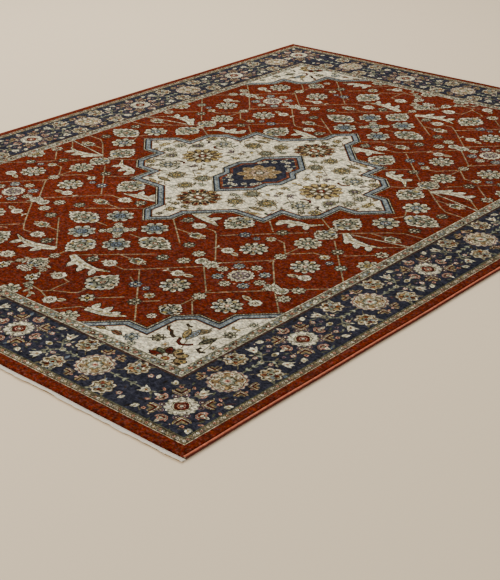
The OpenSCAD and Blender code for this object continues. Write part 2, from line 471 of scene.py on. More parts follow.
def wool_pile():
    cloth = Cloth("wool_pile", 0.98)
    cloth.surface.inputs["Specular IOR Level"].default_value = 0.03
    yarn = cloth.node("ShaderNodeAttribute", attribute_name="yarn").outputs["Color"]
    tufts = cloth.noise(240, 0.5, 1.55, 1.0, cloth.stretched(1, 0.6, 1))
    flecks = cloth.noise(80, 0.5, 1.55, 3.0, cloth.stretched(1, 0.75, 1))
    rows = cloth.noise(60, 0.86, 1.14, 2.0, cloth.stretched(1, 0.06, 1))
    cloudy = cloth.noise(1.4, 0.88, 1.12, 2.0)
    speckle = cloth.maths("MULTIPLY", flecks, tufts)
    value = cloth.maths("MULTIPLY", speckle, cloth.maths("MULTIPLY", rows, cloudy))
    knots = cloth.ranged(cloth.noise(135, 0, 1, 2.0), 0.5, 0.64, 0, 0.55)
    figured = cloth.node("ShaderNodeAttribute", attribute_name="figured").outputs["Fac"]
    yarn = cloth.mixed(yarn, srgb(44, 38, 32), cloth.maths("MULTIPLY", knots, figured))
    shade = cloth.shaded(yarn, value)
    warm = cloth.node("ShaderNodeHueSaturation")
    cloth.join(cloth.noise(170, 0.496, 0.52, 1.0), warm.inputs["Hue"])
    cloth.join(cloth.noise(120, 0.86, 1.12, 1.0), warm.inputs["Saturation"])
    cloth.join(shade, warm.inputs["Color"])
    height = cloth.maths("ADD", cloth.noise(500, 0, 1), cloth.noise(110, 0, 0.8))
    return cloth.finished(warm.outputs["Color"], height, 0.0018)


WOOL = wool_pile()


class Pen:
    """Draws flat shapes, each in one yarn, in a frame that can be moved, turned, sized or mirrored.

    Shapes drawn later lie over those drawn earlier."""

    def __init__(self, shapes, turn=0.0, size=1.0):
        c, s = math.cos(math.radians(turn)) * size, math.sin(math.radians(turn)) * size
        self.shapes = shapes
        self.origin = np.zeros(2)
        self.frame = np.array([[c, -s], [s, c]])

    def at(self, x, y, turn=0.0, size=1.0):
        inner = Pen(self.shapes, turn, size)
        inner.origin = self.origin + self.frame @ np.array([x, y])
        inner.frame = self.frame @ inner.frame
        return inner

    def area(self, yarn, points):
        self.shapes.append((yarn, np.array(points, dtype=float) @ self.frame.T + self.origin))

    def round(self, yarn, x, y, radius, lobes=0, depth=0.16, squeeze=1.0, turn=0.0, sides=10):
        count = max(sides, lobes * 4)
        spots = []
        for i in range(count):
            angle = 2 * math.pi * i / count
            reach = radius * (1 - depth * abs(math.sin(lobes * angle / 2)) ** 3) if lobes else radius
            along = angle + math.radians(turn)
            spots.append((x + reach * math.cos(along), y + reach * squeeze * math.sin(along)))
        self.area(yarn, spots)

    def petal(self, yarn, x, y, turn, long, wide, blunt=0.0):
        """A leaf shape from its foot at x, y; blunt widens it toward the tip."""
        half = [(0, 0.12), (0.2, 0.7 - blunt * 0.2), (0.5, 1.0), (0.8, 0.6 + blunt * 0.5), (1.0, blunt * 0.5)]
        edge = [(t * long, w * wide / 2) for t, w in half]
        inner = self.at(x, y, turn)
        inner.area(yarn, edge + [(t, -w) for t, w in reversed(edge)])

    def line(self, yarn, points, width):
        points = [np.array(p, dtype=float) for p in points]
        self.area(yarn, offset_line(points, width / 2) + offset_line(points, -width / 2)[::-1])

    def spun(self, count, radius, draw, first=0.0):
        """Calls draw with a frame at each of count places round a circle, facing out."""
        for i in range(count):
            turn = first + 360 * i / count
            angle = math.radians(turn)
            draw(self.at(radius * math.cos(angle), radius * math.sin(angle), turn))

    def dots(self, yarn, count, reach, radius, sides=10, first=0.0, squeeze=1.0):
        """A ring of small rounds."""
        self.spun(count, reach, lambda p: p.round(yarn, 0, 0, radius, squeeze=squeeze, sides=sides), first)

    def leaves(self, yarn, count, reach, foot, long, wide, blunt=0.0, first=0.0):
        """A ring of petals that point outward."""
        self.spun(count, reach, lambda p: p.petal(yarn, foot, 0, 0, long, wide, blunt), first)

    def rings(self, *coats):
        """Rounds about the middle, largest first: yarn, radius, then lobes, their depth and sides."""
        for yarn, radius, *form in coats:
            lobes, depth, sides = form + [0, 0.16, 10][len(form):]
            self.round(yarn, 0, 0, radius, lobes, depth, sides=sides)

    def even(self, yarn, half):
        """A shape that is even about the X axis, from the points of one half."""
        self.area(yarn, half + [(x, -y) for x, y in half[::-1] if y])

    def mirrored(self, flip_x, flip_y):
        inner = self.at(0, 0)
        inner.frame = self.frame @ np.diag([flip_x, flip_y])
        return inner


def offset_line(points, distance):
    """An open line moved to its right by a distance, with mitred corners."""
    moved = []
    for i, p in enumerate(points):
        p = np.array(p, dtype=float)
        sides = []
        for a, b in ((i - 1, i), (i, i + 1)):
            if a >= 0 and b < len(points):
                v = np.array(points[b], dtype=float) - np.array(points[a], dtype=float)
                v = v / np.hypot(*v)
                sides.append(np.array([v[1], -v[0]]))
        before, after = sides[0], sides[-1]
        moved.append(tuple(p + distance * (before + after) / (1 + before @ after)))
    return moved


def turned_left(points):
    """The points in anticlockwise order."""
    x, y = np.array(points).T
    area = np.sum(x * np.roll(y, -1) - y * np.roll(x, -1))
    return points if area > 0 else points[::-1]


def quarter_mesh(outline, shapes, ground, sheared):
    """One quarter of a zone: its top triangles with their yarns, and its rim from corner to corner."""
    points = []
    faces = []
    yarns = [ground] + [yarn for yarn, _ in shapes]
    for loop in [outline] + [shape for _, shape in shapes]:
        loop = [tuple(p) for p in turned_left([tuple(q) for q in loop])]
        faces.append(list(range(len(points), len(points) + len(loop))))
        points += loop
    edges = []
    if sheared:
        along_x = np.arange(SHEAR_STEP, PILE_X - SHEAR_END, SHEAR_STEP)
        along_y = np.arange(SHEAR_STEP, PILE_Y - SHEAR_END, SHEAR_STEP)
        for inset, _ in SHEARED[1:] + SHEARED[:1]:
            start = len(points)
            if inset:
                points += [(0, PILE_Y - inset), (PILE_X - inset, PILE_Y - inset), (PILE_X - inset, 0)]
                edges += [(start, start + 1), (start + 1, start + 2)]
            points += [(x, PILE_Y - inset) for x in along_x] + [(PILE_X - inset, y) for y in along_y]
    cut = delaunay_2d_cdt([Vector(p) for p in points], edges, faces, 1, MERGE, True)
    spots = np.array([tuple(p) for p in cut[0]])
    kept = []
    colours = []
    for face, owners in zip(cut[2], cut[5]):
        if 0 in owners:
            kept.append(tuple(face))
            colours.append(yarns[max(owners)])
    rim = {}
    for face in kept:
        for a, b in zip(face, face[1:] + face[:1]):
            if (b, a) in rim:
                del rim[(b, a)]
            else:
                rim[(a, b)] = True
    return spots, kept, colours, list(rim)


def pile_depth(spots):
    """How far below the full pile each spot's tuft tips are, where the outer edge is sheared."""
    inset = np.minimum(PILE_X - spots[:, 0], PILE_Y - spots[:, 1])
    return np.interp(inset, [i for i, _ in SHEARED], [d for _, d in SHEARED])


def pile_zone(node, outline, pen, ground):
    """Builds one zone of pile from its quarter outline and the shapes drawn on it."""
    name = node.removeprefix("pile_").rstrip("s") + "_pile"
    sheared = node == "pile_edge_band"
    spots, faces, colours, rim = quarter_mesh(outline, pen.shapes, ground, sheared)
    ring = {a: b for a, b in rim}
    loop = [rim[0][0]]
    while ring[loop[-1]] != loop[0]:
        loop.append(ring[loop[-1]])
    corners = [Vector(spots[i]) for i in loop]
    under = delaunay_2d_cdt(corners, [], [list(range(len(loop)))], 1, MERGE, True)
    count = len(spots)
    top_z = PILE_HIGH.z * 1000 - (pile_depth(spots) if sheared else 0)
    low_spots = np.array([tuple(p) for p in under[0]])
    all_spots = np.vstack([
        np.column_stack([spots, np.broadcast_to(top_z, count)]),
        np.column_stack([low_spots, np.full(len(low_spots), PILE_LOW.z * 1000)]),
    ])
    foot = {}
    for new, old in enumerate(under[3]):
        for original in old:
            foot[loop[original]] = count + new
    sides = [(a, b) for a, b in rim if max(abs(spots[a][0]), abs(spots[b][0])) > 0.01]
    sides = [(a, b) for a, b in sides if max(abs(spots[a][1]), abs(spots[b][1])) > 0.01]
    wall = [(b, a, foot[a], foot[b]) for a, b in sides]
    wall_yarns = [ground] * len(wall)
    base = [tuple(count + i for i in reversed(face)) for face in under[2]]
    quarter = faces + wall + base
    yarns = colours + wall_yarns + [ground] * len(base)
    keys = {}
    points = []
    whole = []
    whole_yarns = []
    for flip_x, flip_y in ((1, 1), (-1, 1), (-1, -1), (1, -1)):
        place = []
        for x, y, z in all_spots:
            key = (round(x * flip_x * 1000), round(y * flip_y * 1000), round(z * 1000))
            if key not in keys:
                keys[key] = len(points)
                points.append((x * flip_x, y * flip_y, z))
            place.append(keys[key])
        for face, yarn in zip(quarter, yarns):
            corners = [place[i] for i in (face if flip_x * flip_y > 0 else reversed(face))]
            if len(set(corners)) == len(corners):
                whole.append(corners)
                whole_yarns.append(yarn)
    made = new_mesh(name, settled(np.array(points) / 1000), whole, WOOL)
    mesh = made.data
    table = {yarn: srgb(*YARNS[yarn]) for yarn in YARNS}
    dyed = mesh.attributes.new("yarn", "FLOAT_COLOR", "FACE")
    dyed.data.foreach_set("color", [c for yarn in whole_yarns for c in table[yarn]])
    figured = mesh.attributes.new("figured", "FLOAT", "FACE")
    figured.data.foreach_set("value", [0.0 if yarn in (ground, "blue") else 1.0 for yarn in whole_yarns])
    laid_out(mesh)
    built(made, node)
    return made


def laid_out(mesh):
    """A plan UV map for faces that look up; the others share a narrow strip beside it."""
    layer = mesh.uv_layers.new(name="plan")
    corner = np.empty(len(mesh.loops), dtype=np.int32)
    mesh.loops.foreach_get("vertex_index", corner)
    spots = np.empty(len(mesh.vertices) * 3)
    mesh.vertices.foreach_get("co", spots)
    spots = spots.reshape(-1, 3)
    low, high = spots.min(axis=0), spots.max(axis=0)
    normals = np.empty(len(mesh.polygons) * 3)
    mesh.polygons.foreach_get("normal", normals)
    totals = np.empty(len(mesh.polygons), dtype=np.int32)
    mesh.polygons.foreach_get("loop_total", totals)
    upward = np.repeat(normals.reshape(-1, 3)[:, 2] > 0.3, totals)
    plan = (spots[corner][:, :2] - low[:2]) / (high[:2] - low[:2])
    u = np.where(upward, plan[:, 0] * 0.975, 0.985 + 0.012 * plan[:, 0])
    layer.data.foreach_set("uv", np.column_stack([u, plan[:, 1]]).ravel())


def bent(outer_x, outer_y, inner_x, inner_y):
    """A quarter of a band that runs round the rug."""
    return [(inner_x, 0), (outer_x, 0), (outer_x, outer_y), (0, outer_y), (0, inner_y), (inner_x, inner_y)]


edge_pen = Pen([])
edge_pen.line("bone", [(-5, GUARD_Y + 1.6), (GUARD_X + 1.6, GUARD_Y + 1.6), (GUARD_X + 1.6, -5)], 2.4)
pile_zone("pile_edge_band", bent(PILE_X, PILE_Y, GUARD_X, GUARD_Y), edge_pen, "red")

# --- Wool pile: outer guard --------------------------------------------------------------------
# A narrow band of reciprocal beads in cream, pink and tan with dark specks between them. A moss
# line divides it from the navy border.
BEAD_PITCH = 12.5


def along_band(x, y, pitch):
    """Places along a quarter of a band whose middle line is at x and y, with the way it runs."""
    places = [(x - i * pitch, y, 0) for i in range(int(x / pitch) + 1)]
    return places + [(x, y - i * pitch, 90) for i in range(1, int(y / pitch) + 1)]


def ringed(pen, yarn, x, y, width):
    pen.line(yarn, [(-9, y), (x, y), (x, -9)], width)


guard_pen = Pen([])
GUARD_MID = (GUARD_X + BORDER_X) / 2, (GUARD_Y + BORDER_Y) / 2
ringed(guard_pen, "moss", BORDER_X + 1.6, BORDER_Y + 1.6, 3.2)
ringed(guard_pen, "brown", BORDER_X + 5.4, BORDER_Y + 5.4, 1.8)
ringed(guard_pen, "brown", GUARD_X - 1.4, GUARD_Y - 1.4, 2.0)
for number, (x, y, turn) in enumerate(along_band(GUARD_MID[0] + 1.5, GUARD_MID[1] + 1.5, BEAD_PITCH)):
    bead = guard_pen.at(x, y, turn)
    bead.area("ink", [(-6, 0), (0, -7.6), (6, 0), (0, 7.6)])
    bead.area(("cream", "pink", "tan", "bone")[number % 4], [(-4.8, 0), (0, -6.2), (4.8, 0), (0, 6.2)])
    bead.area(("deep", "brown", "blue", "rust")[number % 4], [(-2, 0), (0, -2.8), (2, 0), (0, 2.8)])
    bead.area(("gold", "ivory")[number % 2], [(-8, -7), (-4.4, -7), (-6.2, -2.5)])
    bead.area(("ink", "deep")[number % 2], [(-8, 6.5), (-6.2, 1.5), (-4.4, 6.5)])
pile_zone("pile_outer_guard", bent(GUARD_X, GUARD_Y, BORDER_X, BORDER_Y), guard_pen, "olive")

# --- Wool pile: main border --------------------------------------------------------------------
# A navy ground holds scalloped rosettes and round mandalas by turns. Bell flowers, hooked
# chevrons, curled palmettes, forked stems and buds fill the space between them.
SIDE_LINE, END_LINE, CORNER = 1020, 1468, (1468, 1017)


def bell_flower(pen):
    pen.even("pink", [(-15, -9), (-5, -19), (8, -20), (6, -12), (19, -3)])
    pen.even("navy", [(-12.5, -7), (-4, -16), (4, -17), (2, -10), (12, 0)])
    pen.even("bone", [(-11, -6), (-4, -14), (2, -14), (0, -8), (8, 0)])
    pen.even("red", [(-10, -5), (-4, -12), (0, -10), (-3, 0)])
    pen.even("sage", [(-1, 0), (5, -4), (9, 0)])
    pen.petal("ivory", 8, 0, 0, 20, 12)
    pen.petal("tan", 11, 0, 0, 9, 4)


def chevron(pen, blossom=True):
    """Nested hooks whose corner points at the middle of the flower they attend."""
    hooks = (
        (-20, "tan"), (-17, "ink"), (-14.5, "ivory"), (-12.5, "deep"), (-7, "ink"),
        (-4.5, "tan"), (-1.5, "olive"), (4, "navy"),
    )
    for start, yarn in hooks:
        near, far = start * 0.7, 19
        pen.area(yarn, [(start, start), (15, start), (far, near), (far, far), (near, far), (start, 15)])
    pen.petal("gold", 13, -17, 30, 13, 5)
    pen.petal("gold", -17, 13, 60, 13, 5)
    if blossom:
        pen.round("pink", 16, 16, 8, 5, 0.35, sides=10)
        pen.round("deep", 16, 16, 3.4, sides=5)


def blossom(pen, x, y, radius, petals=5, outer="pink", heart="deep", ring="cream"):
    pen.at(x, y).rings(
        (outer, radius, petals, 0.34), (ring, radius * 0.6, 0, 0, 8), (heart, radius * 0.3, 0, 0, 6)
    )


BUD_PETALS = (
    ("sage", 12, 6, 8, 22, 13), ("fog", 10, 10, 78, 22, 11), ("ivory", 10, 9, 40, 27, 17),
    ("gold", 5, 5, 40, 13, 6),
)


def border_rosette(pen, buds=((98, 84),), posies=True):
    pen.rings(("fog", 50, 8, 0.24), ("ivory", 48, 16, 0.2), ("cream", 44, 8, 0.16))
    pen.dots("tan", 8, 39, 2.8, 5, 22.5)
    pen.leaves("brown", 8, 31, 0, 10, 3.4, first=22.5)
    pen.rings(
        ("ivory", 33, 8, 0.12), ("ink", 29, 8, 0.1), ("bone", 26.5, 8, 0.1), ("deep", 24, 4, 0.16),
        ("pink", 13.5, 8, 0.2), ("deep", 9.5, 0, 0, 8), ("cream", 5.5, 0, 0, 7),
    )
    for sx in (1, -1):
        for sy in (1, -1):
            side = pen.mirrored(sx, sy)
            for x, y in ((50, 29), (26, 47)):
                side.at(x, y).rings(("mauve", 9.5), ("plum", 7.4, 0, 0, 8), ("cream", 3.2, 0, 0, 6))
            chevron(side.at(56, 56))
            for x, y in buds:
                side.line("olive", [(74, 72), (86, 72), (x - 6, y - 6)], 3)
                for yarn, back, down, turn, long, wide in BUD_PETALS:
                    side.petal(yarn, x - back, y - down, turn, long, wide)
            for x, y, turn in ((116, 62, 200), (30, 92, 150), (112, 18, 160)):
                side.petal("moss", x, y, turn, 20, 7)
            for x, y in ((84, 40), (38, 70), (118, 86)):
                side.at(x, y).rings(("plum", 4.4, 0, 0, 6), ("bone", 2.2, 0, 0, 5))
            if posies:
                blossom(side, 99, 45, 10)
                side.line("olive", [(86, 24), (92, 36)], 3)
    for turn in (0, 90, 180, 270):
        bell_flower(pen.at(0, 0, turn).at(75, 0))


def curled_palmette(pen):
    """A curled flower: tan lobes in an ivory edge, mixed petals inside and a maroon throat."""
    pen.rings(
        ("tan", 40, 8, 0.24), ("ivory", 37.5, 8, 0.24), ("ink", 32.5, 8, 0.22), ("tan", 30.5, 8, 0.22),
    )
    for k, yarn in enumerate(("bone", "deep", "sky", "bone", "rust", "tan", "sage")):
        angle = 25 + 50 * k
        pen.petal(yarn, 0, 0, angle, 27, 13, 0.4)
    pen.dots("ink", 7, 25, 3.4, 5, 50)
    pen.at(1, -1).rings(("ink", 14, 8, 0.2), ("sage", 11.5, 8, 0.2), ("deep", 6, 0, 0, 7))
    pen.petal("fog", -20, 22, 125, 24, 12)
    pen.petal("olive", 24, 22, 50, 20, 9)


def tulip(pen):
    pen.petal("fog", -12, 0, 148, 20, 8)
    pen.petal("fog", -12, 0, -148, 20, 8)
    pen.line("olive", [(-24, 0), (0, 0)], 4)
    pen.even("ivory", [(-12, -5), (2, -13), (21, -19), (13, -7), (25, 0)])
    pen.even("bone", [(-6, -3), (3, -9), (12, -12), (8, -4), (15, 0)])
    pen.petal("rust", -4, 0, 0, 12, 6)


def border_round(pen, palmettes=(1, -1), reach=(1, -1)):
    pen.rings(
        ("mauve", 63, 16, 0.12), ("bone", 60.5, 16, 0.14), ("pink", 57, 8, 0.12), ("brown", 54, 8, 0.1),
        ("ivory", 52.5, 8, 0.12), ("tan", 48, 8, 0.12),
    )
    pen.spun(8, 47, lambda p: p.petal("deep", -6, 0, 90, 14, 5))
    pen.leaves("ivory", 8, 38, -9, 17, 10, first=22.5)
    pen.dots("rust", 8, 38, 3.4, 5, 22.5)
    pen.dots("bone", 4, 36, 12, 8, squeeze=0.8)
    pen.dots("olive", 4, 36, 6, 6, squeeze=0.8)
    pen.dots("ink", 16, 50, 2.2, 4, 11.25)
    pen.rings(
        ("brown", 26, 8, 0.2), ("sage", 23.5, 8, 0.2), ("ivory", 18.5, 8, 0.35), ("pink", 10, 8, 0.3),
        ("deep", 4, 0, 0, 6),
    )
    for sx in (1, -1):
        for sy in (1, -1):
            side = pen.mirrored(sx, sy)
            chevron(side.at(30, 77, 0, 0.8), False)
            side.round("pink", 10, 80, 5, sides=6)
            if sx in palmettes:
                curled_palmette(side.at(105, 67))
                side.line("olive", [(66, 22), (78, 32), (84, 44)], 3)
    for sx in reach:
        way = pen.mirrored(sx, 1)
        way.line("fog", [(58, 0), (150, 0)], 5)
        for x in (78, 104, 128):
            for sy in (1, -1):
                way.petal("sage", x, 0, 38 * sy, 17, 7)
        blossom(way, 142, 0, 9, 6, "ivory", "deep", "gold")
        for sy in (1, -1):
            fork = way.mirrored(1, sy)
            fork.line("fog", [(144, 0), (182, 38), (184, 52)], 5)
            fork.petal("sage", 164, 20, 100, 20, 8)
            blossom(fork, 148, 30, 9, 5, "pink", "deep")
            fork.petal("bone", 156, 42, 120, 16, 7)
            tulip(fork.at(178, 62, 66))
            fork.petal("olive", 172, 26, -16, 22, 8)
            fork.round("mauve", 204, 30, 6.5, sides=7)
            fork.round("plum", 204, 30, 3.4, sides=6)
            fork.petal("fog", 196, 52, 20, 18, 7)
            fork.petal("fog", 120, 26, 20, 20, 6)
        way.petal("ivory", 186, 0, 0, 30, 19)
        way.round("gold", 198, 0, 8, sides=8)
        way.round("moss", 198, 0, 4.5, sides=6)


border_pen = Pen([])
FILL_MARKS, SIDE_SHARE = 100, 0.56
scatter = np.random.default_rng(11)
for _ in range(FILL_MARKS):
    if scatter.random() < SIDE_SHARE:
        x, y = scatter.uniform(0, BORDER_X), scatter.uniform(INNER_Y, BORDER_Y)
    else:
        x, y = scatter.uniform(INNER_X, BORDER_X), scatter.uniform(0, BORDER_Y)
    mark = ("ink", "plum", "ink", "brown", "ink", "blue")[scatter.integers(6)]
    dab = border_pen.at(x, y, scatter.uniform(0, 360))
    long, wide = scatter.uniform(8, 17), scatter.uniform(3, 7)
    dab.area(mark, [(-long, 0), (0, -wide), (long, 0), (0, wide)])
ringed(border_pen, "brown", INNER_X + 2.5, INNER_Y + 2.5, 5)
for x in (322, 965):
    border_rosette(border_pen.at(x, SIDE_LINE))
border_rosette(border_pen.at(END_LINE, 333, 90))
border_round(border_pen.at(0, SIDE_LINE))
border_round(border_pen.at(640, SIDE_LINE))
border_round(border_pen.at(1291, SIDE_LINE), (-1,), (-1,))
border_round(border_pen.at(END_LINE, 0, 90))
border_round(border_pen.at(END_LINE, 673, 90), (1, -1), (-1,))
border_pen.line("fog", [(END_LINE, 735), (END_LINE, 858)], 5)
for y in (756, 790, 822):
    for way in (1, -1):
        border_pen.petal("sage", END_LINE, y, 90 + 42 * way, 18, 7)
for x in (1408, 1528):
    blossom(border_pen, x, 838, 10)
    border_pen.petal("ivory", x, 862, 200 if x < END_LINE else -20, 24, 14)
border_rosette(border_pen.at(*CORNER), ((78, 100),), False)
tulip(border_pen.at(1469, 884, -90))
tulip(border_pen.at(1384, 1017, 180))
for x, y in ((1430, 910), (1506, 910), (1425, 1114), (1508, 1114), (1372, 968), (1372, 1066)):
    border_pen.petal("pink", x, y, 60 if x < 1468 else 120, 20, 9)
    border_pen.petal("rust", x, y, 60 if x < 1468 else 120, 11, 4)
pile_zone("pile_main_border", bent(BORDER_X, BORDER_Y, INNER_X, INNER_Y), border_pen, "navy")

# --- Wool pile: inner guard --------------------------------------------------------------------
# A sage-grey band between a dark line and a cream line carries a fine wandering vine. Small
# flowers in red, pink, cream and blue sit in its bends.
VINE_PITCH = 37


def inner_guard():
    pen = Pen([])
    middle = (INNER_X + FIELD_X) / 2 - 1, (INNER_Y + FIELD_Y) / 2 - 1
    ringed(pen, "plum", INNER_X - 2.5, INNER_Y - 2.5, 5.0)
    ringed(pen, "bone", INNER_X - 6.4, INNER_Y - 6.4, 2.2)
    ringed(pen, "cream", FIELD_X + 1.6, FIELD_Y + 1.6, 3.4)
    ringed(pen, "brown", FIELD_X + 4.2, FIELD_Y + 4.2, 1.6)
    for number, (x, y, turn) in enumerate(along_band(*middle, VINE_PITCH)):
        place = pen.at(x, y, turn)
        flip = 1 if number % 2 else -1
        bends = ((-18, -5), (-9, 9), (0, 11), (9, 2), (18, 5))
        place.line("moss", [(along, away * flip) for along, away in bends], 2.2)
        outer, heart = (("cream", "red"), ("pink", "deep"), ("deep", "cream"), ("sky", "cream"))[number % 4]
        place.rings(("brown", 9.5, 6, 0.2), (outer, 8, 6, 0.25), (heart, 3.2, 0, 0, 6))
        place.round("rust", -13, 7 * flip, 4.2, sides=6)
        place.round("cream", 13, -8 * flip, 4.6, sides=6)
        place.petal("brown", 8, 10 * flip, 20, 10, 5)
        place.petal("bone", -18, -9 * flip, 10, 12, 6)
        place.petal("brown", -10, -11 * flip, -30, 9, 4)
        place.round("blue", 17, 3 * flip, 3.6, sides=6)
    return pen


pile_zone("pile_inner_guard", bent(INNER_X, INNER_Y, FIELD_X, FIELD_Y), inner_guard(), "fog")

# --- Wool pile: field --------------------------------------------------------------------------
# The red field carries a lattice of thin tan stems. Palmettes, scalloped flowers, ring flowers and
# serrated white leaves hang on it round one large star of eight small flowers in each quarter.
OUTLINE = 36
MEDALLION = [
    (615, 0), (555, 60), (490, 60), (358, 192), (358, 332), (252, 332),
    (252, 416), (200, 468), (85, 468), (85, 547), (0, 632),
]
CENTRE = [(245, 0), (142, 103), (78, 103), (42, 139), (0, 139)]
CORNER_STEPS = [(0, 408), (90, 318), (90, 232), (205, 232), (255, 182), (255, 91), (335, 91), (426, 0)]


def stepped(steps, distance):
    """A stepped line from the X axis to the Y axis, moved out from the centre by a distance."""
    (ax, ay), (bx, by) = steps[1], steps[-2]
    whole = [(ax, -ay)] + steps + [(-bx, by)]
    return offset_line(whole, distance)[1:-1]


def corner_line(distance):
    """A corner's stepped line, moved toward the centre, and ended on the field's two edges."""
    steps = [(FIELD_X - x, FIELD_Y - y) for x, y in CORNER_STEPS]
    (ax, ay), (bx, by) = steps[-1], steps[0]
    line = [(ax - 60, ay + 60)] + steps[-2:0:-1] + [(bx + 60, by - 60)]
    moved = offset_line(line, distance)
    (x0, y0), (x1, y1) = moved[0], moved[1]
    first = (x0 + (x1 - x0) * (FIELD_Y - y0) / (y1 - y0), FIELD_Y)
    (x0, y0), (x1, y1) = moved[-2], moved[-1]
    last = (FIELD_X, y0 + (y1 - y0) * (FIELD_X - x0) / (x1 - x0))
    return [first] + moved[1:-1] + [last]


def speckled(pen, count, reach, radius, yarn="ink", first=0.0):
    """Dark gaps set in a ring between petals."""
    pen.dots(yarn, count, reach, radius, 6, first, squeeze=0.75)


def flower(pen, x, y, radius, lobes=8, turn=0.0, coat=("ivory", "bone", "sage", "deep", "cream")):
    """A scalloped flower: edge, petals, ring, heart and eye yarns, with dark gaps between them."""
    head = pen.at(x, y, turn, radius / 50)
    head.rings(("ink", 54, lobes, 0.26), (coat[0], 50.5, lobes, 0.28), ("fog", 43, lobes, 0.24))
    head.leaves(coat[1], lobes, 24, -4, 22, 13, 0.4)
    head.leaves("gold", lobes, 30, -1, 10, 5, 0.4)
    speckled(head, lobes, 34, 6.4, "ink", 180 / lobes)
    head.dots("cream", lobes, 44, 3.6, 5)
    head.rings(("ink", 23, lobes, 0.1), (coat[2], 20, lobes, 0.28))
    speckled(head, 4, 12.5, 3.8)
    head.rings((coat[3], 8.5, 0, 0, 8), (coat[4], 4.5, 0, 0, 6))


def round_palmette(pen, x, y, radius, turn=0.0):
    """A full round flower: split petals in five yarns with dark gaps, round a sage rosette."""
    head = pen.at(x, y, turn, radius / 52)
    head.rings(("ink", 56.5, 10, 0.26), ("ivory", 52.5, 10, 0.28), ("fog", 43, 10, 0.24))
    for i, yarn in enumerate(("bone", "tan", "ivory", "sage", "bone", "gold", "ivory", "tan", "bone", "sky")):
        p = head.at(0, 0, 36 * i)
        p.petal(yarn, 26, 0, 0, 18, 12, 0.5)
    speckled(head, 5, 39, 8.0, "ink", 18)
    speckled(head, 5, 38, 6.2, "ink", 54)
    head.dots("cream", 10, 46, 3.4, 5)
    head.dots("pink", 5, 43, 3.6, 5)
    head.rings(("ink", 29, 10, 0.12), ("bone", 25.5, 10, 0.3))
    speckled(head, 5, 18.5, 5.6, "ink", 18)
    head.leaves("sky", 5, 18, -4, 11, 7, 0.4, first=54)
    head.rings(("moss", 11.5, 8, 0.2), ("pink", 7, 0, 0, 8), ("cream", 3.6, 0, 0, 6))


def pointed_palmette(pen, x, y, turn, long=120, wide=110, heart="rust"):
    """A palmette that points along its own X: scalloped petals with dark gaps round a small heart."""
    head = pen.at(x, y, turn)
    half, reach = wide / 2, long / 2
    outline = [
        (-0.98, 0.12), (-0.9, 0.36), (-0.7, 0.42), (-0.72, 0.66), (-0.48, 0.74), (-0.42, 0.94),
        (-0.16, 1.0), (-0.02, 0.86), (0.16, 0.92), (0.28, 0.7), (0.46, 0.7), (0.52, 0.46),
        (0.7, 0.42), (0.78, 0.18), (1.0, 0),
    ]
    for grow, yarn in ((1.07, "ink"), (1.0, "ivory"), (0.84, "fog")):
        head.even(yarn, [(u * reach * grow, v * half * grow) for u, v in outline])
    for u, v, size, yarn in (
        (-0.3, 0.66, 9, "bone"), (0.03, 0.62, 8, "tan"), (0.34, 0.42, 7.5, "ivory"),
        (-0.56, 0.34, 8.5, "sky"), (0.58, 0.14, 7, "bone"), (-0.08, 0.4, 8.5, "ivory"),
        (-0.74, 0.1, 7, "gold"), (0.26, 0.16, 7, "sage"),
    ):
        for way in (1, -1):
            head.round(yarn, u * reach, v * half * way, size, sides=7)
    for u, v, size, yarn in (
        (-0.14, 0.8, 5.4, "ink"), (-0.44, 0.5, 7.2, "ink"), (0.2, 0.6, 6.4, "ink"), (-0.18, 0.54, 6, "ink"),
        (0.48, 0.28, 6, "ink"), (-0.7, 0.26, 5.6, "ink"), (0.2, 0.34, 5.6, "ink"), (-0.46, 0.8, 3.6, "pink"),
        (0.04, 0.84, 3.0, "rust"), (0.4, 0.56, 3, "pink"), (-0.3, 0.9, 3.2, "cream"),
        (0.2, 0.8, 3.2, "cream"),
    ):
        for way in (1, -1):
            head.round(yarn, u * reach, v * half * way, size, squeeze=0.85, sides=6)
    core = [(-0.42, 0), (-0.28, 0.24), (0.0, 0.3), (0.22, 0.16), (0.42, 0)]
    for grow, yarn in ((1.0, "ink"), (0.76, "sage"), (0.5, heart), (0.24, "cream")):
        head.even(yarn, [(u * reach * grow - 2, v * half * grow) for u, v in core])


def ring_flower(pen, x, y, radius, tail=None):
    if tail:
        across = math.degrees(math.atan2(tail[1] - y, tail[0] - x))
        long = math.hypot(tail[0] - x, tail[1] - y)
        leaf = pen.at(x, y, across)
        leaf.petal("ink", long * 0.3, 0, 0, long * 0.95, 27, 0.2)
        leaf.petal("bone", long * 0.34, 0, 0, long * 0.86, 22, 0.2)
        leaf.petal("tan", long * 0.5, 0, 0, long * 0.62, 13)
        leaf.petal("deep", long * 0.56, 0, 0, long * 0.3, 6)
    pen.at(x, y).rings(
        ("ink", radius * 1.12, 8), ("cream", radius * 1.04, 8, 0.18), ("ink", radius * 0.5),
        ("bone", radius * 0.36, 0, 0, 8), ("deep", radius * 0.18, 0, 0, 6),
    )


def posy(pen, x, y, radius, coat=("fog", "brown", "cream")):
    """A small flower in muted yarns: it sits where stems cross."""
    pen.round("ink", x, y, radius * 1.16, 8, 0.28)
    pen.round(coat[0], x, y, radius, 8, 0.34)
    head = pen.at(x, y, 0, radius / 20)
    speckled(head, 4, 12, 4.2, "ink", 45)
    head.dots("ivory", 4, 14, 2.8, 5)
    pen.round(coat[1], x, y, radius * 0.44, sides=8)
    pen.round(coat[2], x, y, radius * 0.24, sides=6)


